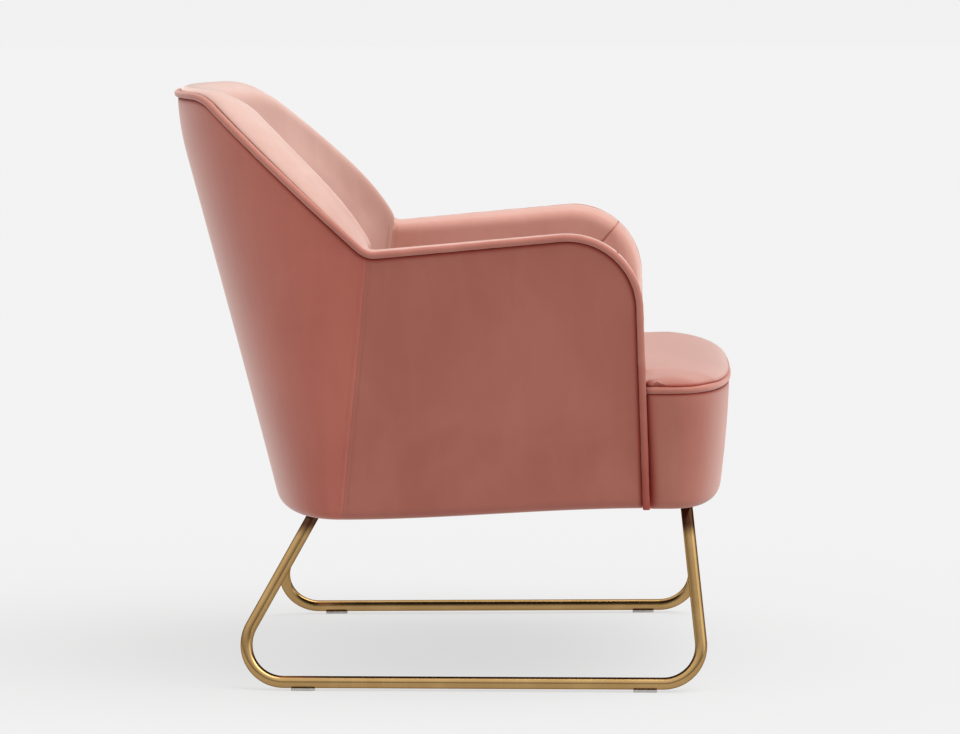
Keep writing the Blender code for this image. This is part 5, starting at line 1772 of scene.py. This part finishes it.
def brass_loop(side, sign):
    path = rounded_path(loop_corners(), [BEND_RADIUS, BEND_RADIUS], 40)
    name = "brass_loop_" + side
    values = {"Radius": TUBE_RADIUS, "Spacing": 0.004, "Sides": 36, "Unevenness": 0.0}
    values |= {"Unevenness_size": 1.0, "Material": BRASS}
    loop = unwrap_tube(closed_normals(sweep.grow(name, line_mesh(name, path), **values)))
    shape = bmesh.new()
    shape.from_mesh(loop.data)
    made = bmesh.ops.bisect_plane(
        shape, geom=shape.verts[:] + shape.edges[:] + shape.faces[:],
        plane_co=(0, 0, PLATE_FLOOR - 0.0002), plane_no=(0, 0, 1), clear_outer=True,
    )
    cuts = [item for item in made["geom_cut"] if isinstance(item, bmesh.types.BMEdge)]
    bmesh.ops.holes_fill(shape, edges=cuts)
    bmesh.ops.scale(shape, vec=(sign, 1, 1), verts=shape.verts[:])
    bmesh.ops.recalc_face_normals(shape, faces=shape.faces[:])
    shape.to_mesh(loop.data)
    shape.free()
    loop.data.shade_smooth()
    loop.data.set_sharp_from_angle(angle=radians(50))
    return hand_over(loop, "brass_tube", "base_loop_" + side)


for side, sign in SIDES:
    loop = brass_loop(side, sign)
    print(loop.name, len(loop.data.polygons), "faces")

# %% Weld beads, plates and glides
def weld_bead(name, end, sign):
    """A ring of filler where a slanting tube meets its level plate."""
    corners = loop_corners()
    top, below = (corners[0], corners[1]) if end == "front" else (corners[3], corners[2])
    leg = (top - below).normalized()
    centre = below + leg * ((PLATE_FLOOR - 0.0008 - below.z) / leg.z)
    shape = bmesh.new()
    around, section = 40, 8
    rings = []
    for step in range(around):
        angle = 2 * pi * step / around
        spoke = Vector((cos(angle), sin(angle), 0.0))
        flat = spoke - leg * (spoke.dot(leg))
        reach = TUBE_RADIUS / flat.length
        middle = centre + spoke * (reach + 0.0004)
        size = 0.0013 + 0.0002 * sin(9 * angle)
        ring = []
        for t in (2 * pi * part / section for part in range(section)):
            rise = Vector((0, 0, min(size * sin(t), 0.0005)))
            ring.append(shape.verts.new(middle + spoke * size * cos(t) + rise))
        rings.append(ring)
    for first, second in zip(rings, rings[1:] + rings[:1]):
        join_lines(shape, first, second, closed=True)
    bmesh.ops.scale(shape, vec=(sign, 1, 1), verts=shape.verts[:])
    bmesh.ops.recalc_face_normals(shape, faces=shape.faces[:])
    bead = new_piece(name, shape, BLACK_STEEL)
    smoothed(bead, 1)
    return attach(settled(bead), "root")


PLATE_CORNER = 0.006


def rounded_plate(name, low, high, node):
    shape = bmesh.new()
    outline = []
    spots = ((high.x, high.y, 0), (low.x, high.y, 90), (low.x, low.y, 180), (high.x, low.y, 270))
    for x, y, first in spots:
        middle = radians(first + 45)
        inward = Vector((-cos(middle), -sin(middle), 0)) * PLATE_CORNER * sqrt(2)
        centre = Vector((x, y, 0)) + inward
        for step in range(7):
            angle = radians(first + 15 * step)
            spot = centre + Vector((cos(angle), sin(angle), 0)) * PLATE_CORNER
            outline.append((spot.x, spot.y, low.z))
    face = shape.faces.new([shape.verts.new(point) for point in outline])
    made = bmesh.ops.extrude_face_region(shape, geom=[face])
    for item in made["geom"]:
        if isinstance(item, bmesh.types.BMVert):
            item.co.z = high.z
    bmesh.ops.recalc_face_normals(shape, faces=shape.faces[:])
    plate = new_piece(name, shape, BLACK_STEEL)
    edge = plate.modifiers.new("worn_edge", "BEVEL")
    edge.width = 0.0005
    edge.segments = 2
    settled(plate)
    plate.data.set_sharp_from_angle(angle=radians(40))
    return hand_over(plate, "steel", node)


GLIDE_OUTLINE = (
    (-1.0, 0.80), (-0.94, 0.93), (-0.8, 1.0), (0.0, 1.0), (0.8, 1.0), (0.94, 0.93), (1.0, 0.80)
)


def glide(name, node, sign):
    """A nylon foot whose top is a saddle for the tube."""
    low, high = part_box(node)
    high.z = GLIDE_TOP
    middle = (low + high) / 2
    half_wide, half_long = (high.x - low.x) / 2, (high.y - low.y) / 2
    shape = bmesh.new()
    section = [(-1.0, 0.0018), (-0.86, 0.0), (0.86, 0.0), (1.0, 0.0018), (1.0, high.z)]
    saddle = TUBE_RADIUS + 0.0002
    rings = []
    lean = (RUNNER_FRONT_X - RUNNER_REAR_X) / (RUNNER_FRONT - RUNNER_REAR)
    for share, slim in GLIDE_OUTLINE:
        y = middle.y + half_long * share
        x = middle.x + sign * lean * half_long * share
        ring = [(x + half_wide * slim * a, z) for a, z in section]
        edge = sqrt(saddle**2 - (RUNNER_Z - high.z) ** 2)
        for part in even(8):
            across = blend(edge, -edge, part)
            ring.append((x + across, RUNNER_Z - sqrt(saddle**2 - across**2)))
        ring.append((x - half_wide * slim, high.z))
        rings.append([shape.verts.new((a, y, z)) for a, z in ring])
    for first, second in zip(rings, rings[1:]):
        join_lines(shape, first, second, closed=True)
    shape.faces.new(rings[0])
    shape.faces.new(rings[-1])
    bmesh.ops.recalc_face_normals(shape, faces=shape.faces[:])
    foot = new_piece(name, shape, NYLON)
    foot.data.set_sharp_from_angle(angle=radians(40))
    return hand_over(foot, "nylon", node)


for side, sign in SIDES:
    for end in ("front", "rear"):
        weld_bead(f"weld_{end}_{side}", end, sign)
        node = f"leg_plate_{end}_{side}"
        rounded_plate(f"mounting_plate_{end}_{side}", *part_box(node), node)
        glide(f"floor_glide_{end}_{side}", f"glide_{end}_{side}", sign)
print("base fittings made")

# %% Bolts, set out by Geometry Nodes
HEAD_SIDES, SOCKET_RADIUS = 24, 0.0021
HEAD_SECTION = (
    (0.0055, 0.0), (0.0055, -0.0010), (0.0050, -0.0022), (0.0040, -0.0031), (0.0030, -0.0035),
    (SOCKET_RADIUS, -0.0035), (SOCKET_RADIUS, -0.0013),
)


def button_head():
    """One bolt head with a hexagonal socket, its seat at the origin and its crown below."""
    shape = bmesh.new()
    rings = []
    for radius, z in HEAD_SECTION:
        ring = []
        for step in range(HEAD_SIDES):
            angle = 2 * pi * step / HEAD_SIDES
            hexagon = cos(pi / 6) / cos((angle % (pi / 3)) - pi / 6)
            flat = hexagon if radius == SOCKET_RADIUS else 1.0
            ring.append(shape.verts.new((radius * flat * cos(angle), radius * flat * sin(angle), z)))
        rings.append(ring)
    for first, second in zip(rings, rings[1:]):
        join_lines(shape, first, second, closed=True)
    shape.faces.new(rings[0])
    shape.faces.new(rings[-1])
    bmesh.ops.recalc_face_normals(shape, faces=shape.faces[:])
    head = new_piece("button_head", shape, ZINC)
    head.data.set_sharp_from_angle(angle=radians(35))
    return head


setting = Tree("heads_on_points", Head="Object", Seed="Int", Material="Material")
head = setting.node(
    "GeometryNodeObjectInfo", values={"Object": setting["Head"], "As Instance": True}, out="Geometry"
)
spin = setting.node(
    "FunctionNodeRandomValue", {"data_type": "FLOAT"}, {2: 0.0, 3: 6.28, "Seed": setting["Seed"]}, out=1
)
spin = setting.node("ShaderNodeCombineXYZ", values={2: spin})
points = setting.node("GeometryNodeMeshToPoints", values={"Mesh": setting["Geometry"]})
heads = setting.node(
    "GeometryNodeInstanceOnPoints", values={"Points": points, "Instance": head, "Rotation": spin}
)
setting.close(heads, setting["Material"])

bolt_nodes = sorted(name for name in frame["nodes"] if name.startswith("leg_bolt_"))
seats = [sum(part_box(name), Vector()) / 2 for name in bolt_nodes]
seat_mesh = bpy.data.meshes.new("bolt_seats")
seat_mesh.from_pydata([(seat.x, seat.y, PLATE_FLOOR - 0.0003) for seat in seats], [], [])
head = button_head()
bolts = setting.grow("leg_bolts", seat_mesh, Head=head, Seed=3, Material=ZINC)
bpy.data.objects.remove(head)
bolts.data.set_sharp_from_angle(angle=radians(35))
hand_over(bolts, "steel", *bolt_nodes)
print(bolts.name, len(bolts.data.polygons), "faces for", len(seats), "bolts")

# %% [markdown]
# ## Underneath
# A thin black cloth is stapled over the underside to keep dust out. It is pulled tight, so it
# sags only a little in the middle, and puckers slightly between its staples. The sheet is a
# grid fitted between the two sides of the chair's plan. The staples are one bent wire, set out
# round the border by the last of the trees.

# %% Dust cover
DUST_LOW, DUST_THICK = 0.2445, 0.0006
DUST_INSET = 0.024  # from the shell's outside face to the cloth's edge
NOSE_DRAW = DUST_INSET + BAND_TAPER
SAG, PUCKER = 0.0035, 0.0003


def dust_half_width(y):
    z = DUST_LOW
    if y < NOSE_STRAIGHT:
        reach = NOSE_STRAIGHT - SEAT_FRONT - NOSE_DRAW
        share = min((NOSE_STRAIGHT - y) / reach, 1.0)
        return (SEAT_HALF_WIDTH - NOSE_DRAW) * (1 - share**NOSE_FORM) ** (1 / NOSE_FORM)
    start = seam_y(z)
    rear = half_width(z) - DUST_INSET
    if y < start:
        return blend(SEAT_HALF_WIDTH - NOSE_DRAW, rear, (y - NOSE_STRAIGHT) / (start - NOSE_STRAIGHT))
    reach = back_y(z) - DUST_INSET - start
    return rear * (1 - min((y - start) / reach, 1.0) ** CORNER_FORM) ** (1 / CORNER_FORM)


def dust_cover():
    front = SEAT_FRONT + NOSE_DRAW
    rear = back_y(DUST_LOW) - DUST_INSET
    shape = bmesh.new()
    rows = []
    for angle in even(44):
        y = blend(front, rear, 0.5 - 0.5 * cos(pi * angle))
        wide = max(dust_half_width(y), 0.012)
        row = []
        for step in even(40):
            u = 2 * step - 1
            v = (2 * (y - front) / (rear - front)) - 1
            sag = SAG * max(1 - u**4, 0.0) * max(1 - v**4, 0.0)
            near = max(abs(u), abs(v)) ** 6
            pucker = PUCKER * near * (sin(42 * u) + sin(36 * v))
            row.append(Vector((wide * u, y, DUST_LOW - sag + pucker)))
        rows.append(row)
    weave_rows(shape, rows)
    area = sum(face.calc_area() for face in shape.faces)
    facing(shape, (0, 0, -1))
    cloth = new_piece("underside_dust_cloth", shape, BLACK_CLOTH)
    thickened(cloth, DUST_THICK)
    settled(cloth)
    flat = (2 * (half_width(DUST_LOW) - DUST_INSET), rear - front)
    return hand_over(cloth, "black_cloth", "dust_cover"), flat, area


DUST_CLOTH, DUST_FLAT, DUST_AREA = dust_cover()
print("dust cloth", [round(side, 3) for side in DUST_FLAT], "m,", round(DUST_AREA, 4), "m2")

# %% Staples
stapling = Tree(
    "staples_along_line", Pitch="Float", Crown="Float", Wire="Float", Seed="Int", Material="Material"
)
line = stapling.node("GeometryNodeMeshToCurve", values={0: stapling["Geometry"]})
line = stapling.node(
    "GeometryNodeResampleCurve", {"mode": "LENGTH"}, {"Curve": line, "Length": stapling["Pitch"]}
)
size = stapling.node(
    "ShaderNodeCombineXYZ", values={0: stapling["Crown"], 1: stapling["Wire"], 2: stapling["Wire"]}
)
wire = stapling.node("GeometryNodeMeshCube", values={"Size": size, "Vertices X": 4})
slant = stapling.node(
    "FunctionNodeRandomValue", {"data_type": "FLOAT"}, {2: -0.25, 3: 0.25, "Seed": stapling["Seed"]}, out=1
)
tangent = stapling.node("GeometryNodeInputTangent")
turned = stapling.node("FunctionNodeAlignRotationToVector", {"axis": "X"}, {"Vector": tangent})
skew = stapling.node("ShaderNodeCombineXYZ", values={2: slant})
turned = stapling.node("FunctionNodeRotateRotation", {}, {"Rotation": turned, "Rotate By": skew})
laid = stapling.node(
    "GeometryNodeInstanceOnPoints", values={"Points": line, "Instance": wire, "Rotation": turned}
)
stapling.close(laid, stapling["Material"])

STAPLE_INSET = 0.007  # from the cloth's edge
border = []
front = SEAT_FRONT + NOSE_DRAW + STAPLE_INSET
rear = back_y(DUST_LOW) - DUST_INSET - STAPLE_INSET
for share in even(60):
    y = blend(front, rear, 0.5 - 0.5 * cos(pi * share))
    border.append(Vector((max(dust_half_width(y) - STAPLE_INSET, 0.0), y, DUST_LOW - 0.0002)))
ring = border + [mirrored_point(point, -1) for point in reversed(border[1:-1])] + [border[0]]
STAPLES = stapling.grow(
    "staples", line_mesh("staples", ring), Pitch=0.026, Crown=0.0100, Wire=0.0007, Seed=11, Material=ZINC
)
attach(STAPLES, "root")
print("staples:", len(STAPLES.data.polygons) // 14)

# %% [markdown]
# ## What stays from the CAD model
# The boards, rails, straps and springs inside the chair keep their CAD shapes, which are right
# as they are. They are only given their finishes. The last lines print how large the dressed
# chair is.

# %% Finishes inside, sizes and the end
UNCOVERED = {"seat_spring": ZINC, "back_strap": WEB}  # everything else that stays is a board
kept = {name: node for name, node in frame["nodes"].items() if not node.hide_render}
for name, node in kept.items():
    finish = next((UNCOVERED[start] for start in UNCOVERED if name.startswith(start)), BIRCH)
    node.data.materials.clear()
    node.data.materials.append(finish)
print(len(kept), "CAD nodes keep their shapes")

low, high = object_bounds()
print("visual box", [round(side * 1000, 1) for side in (high - low)], "mm")
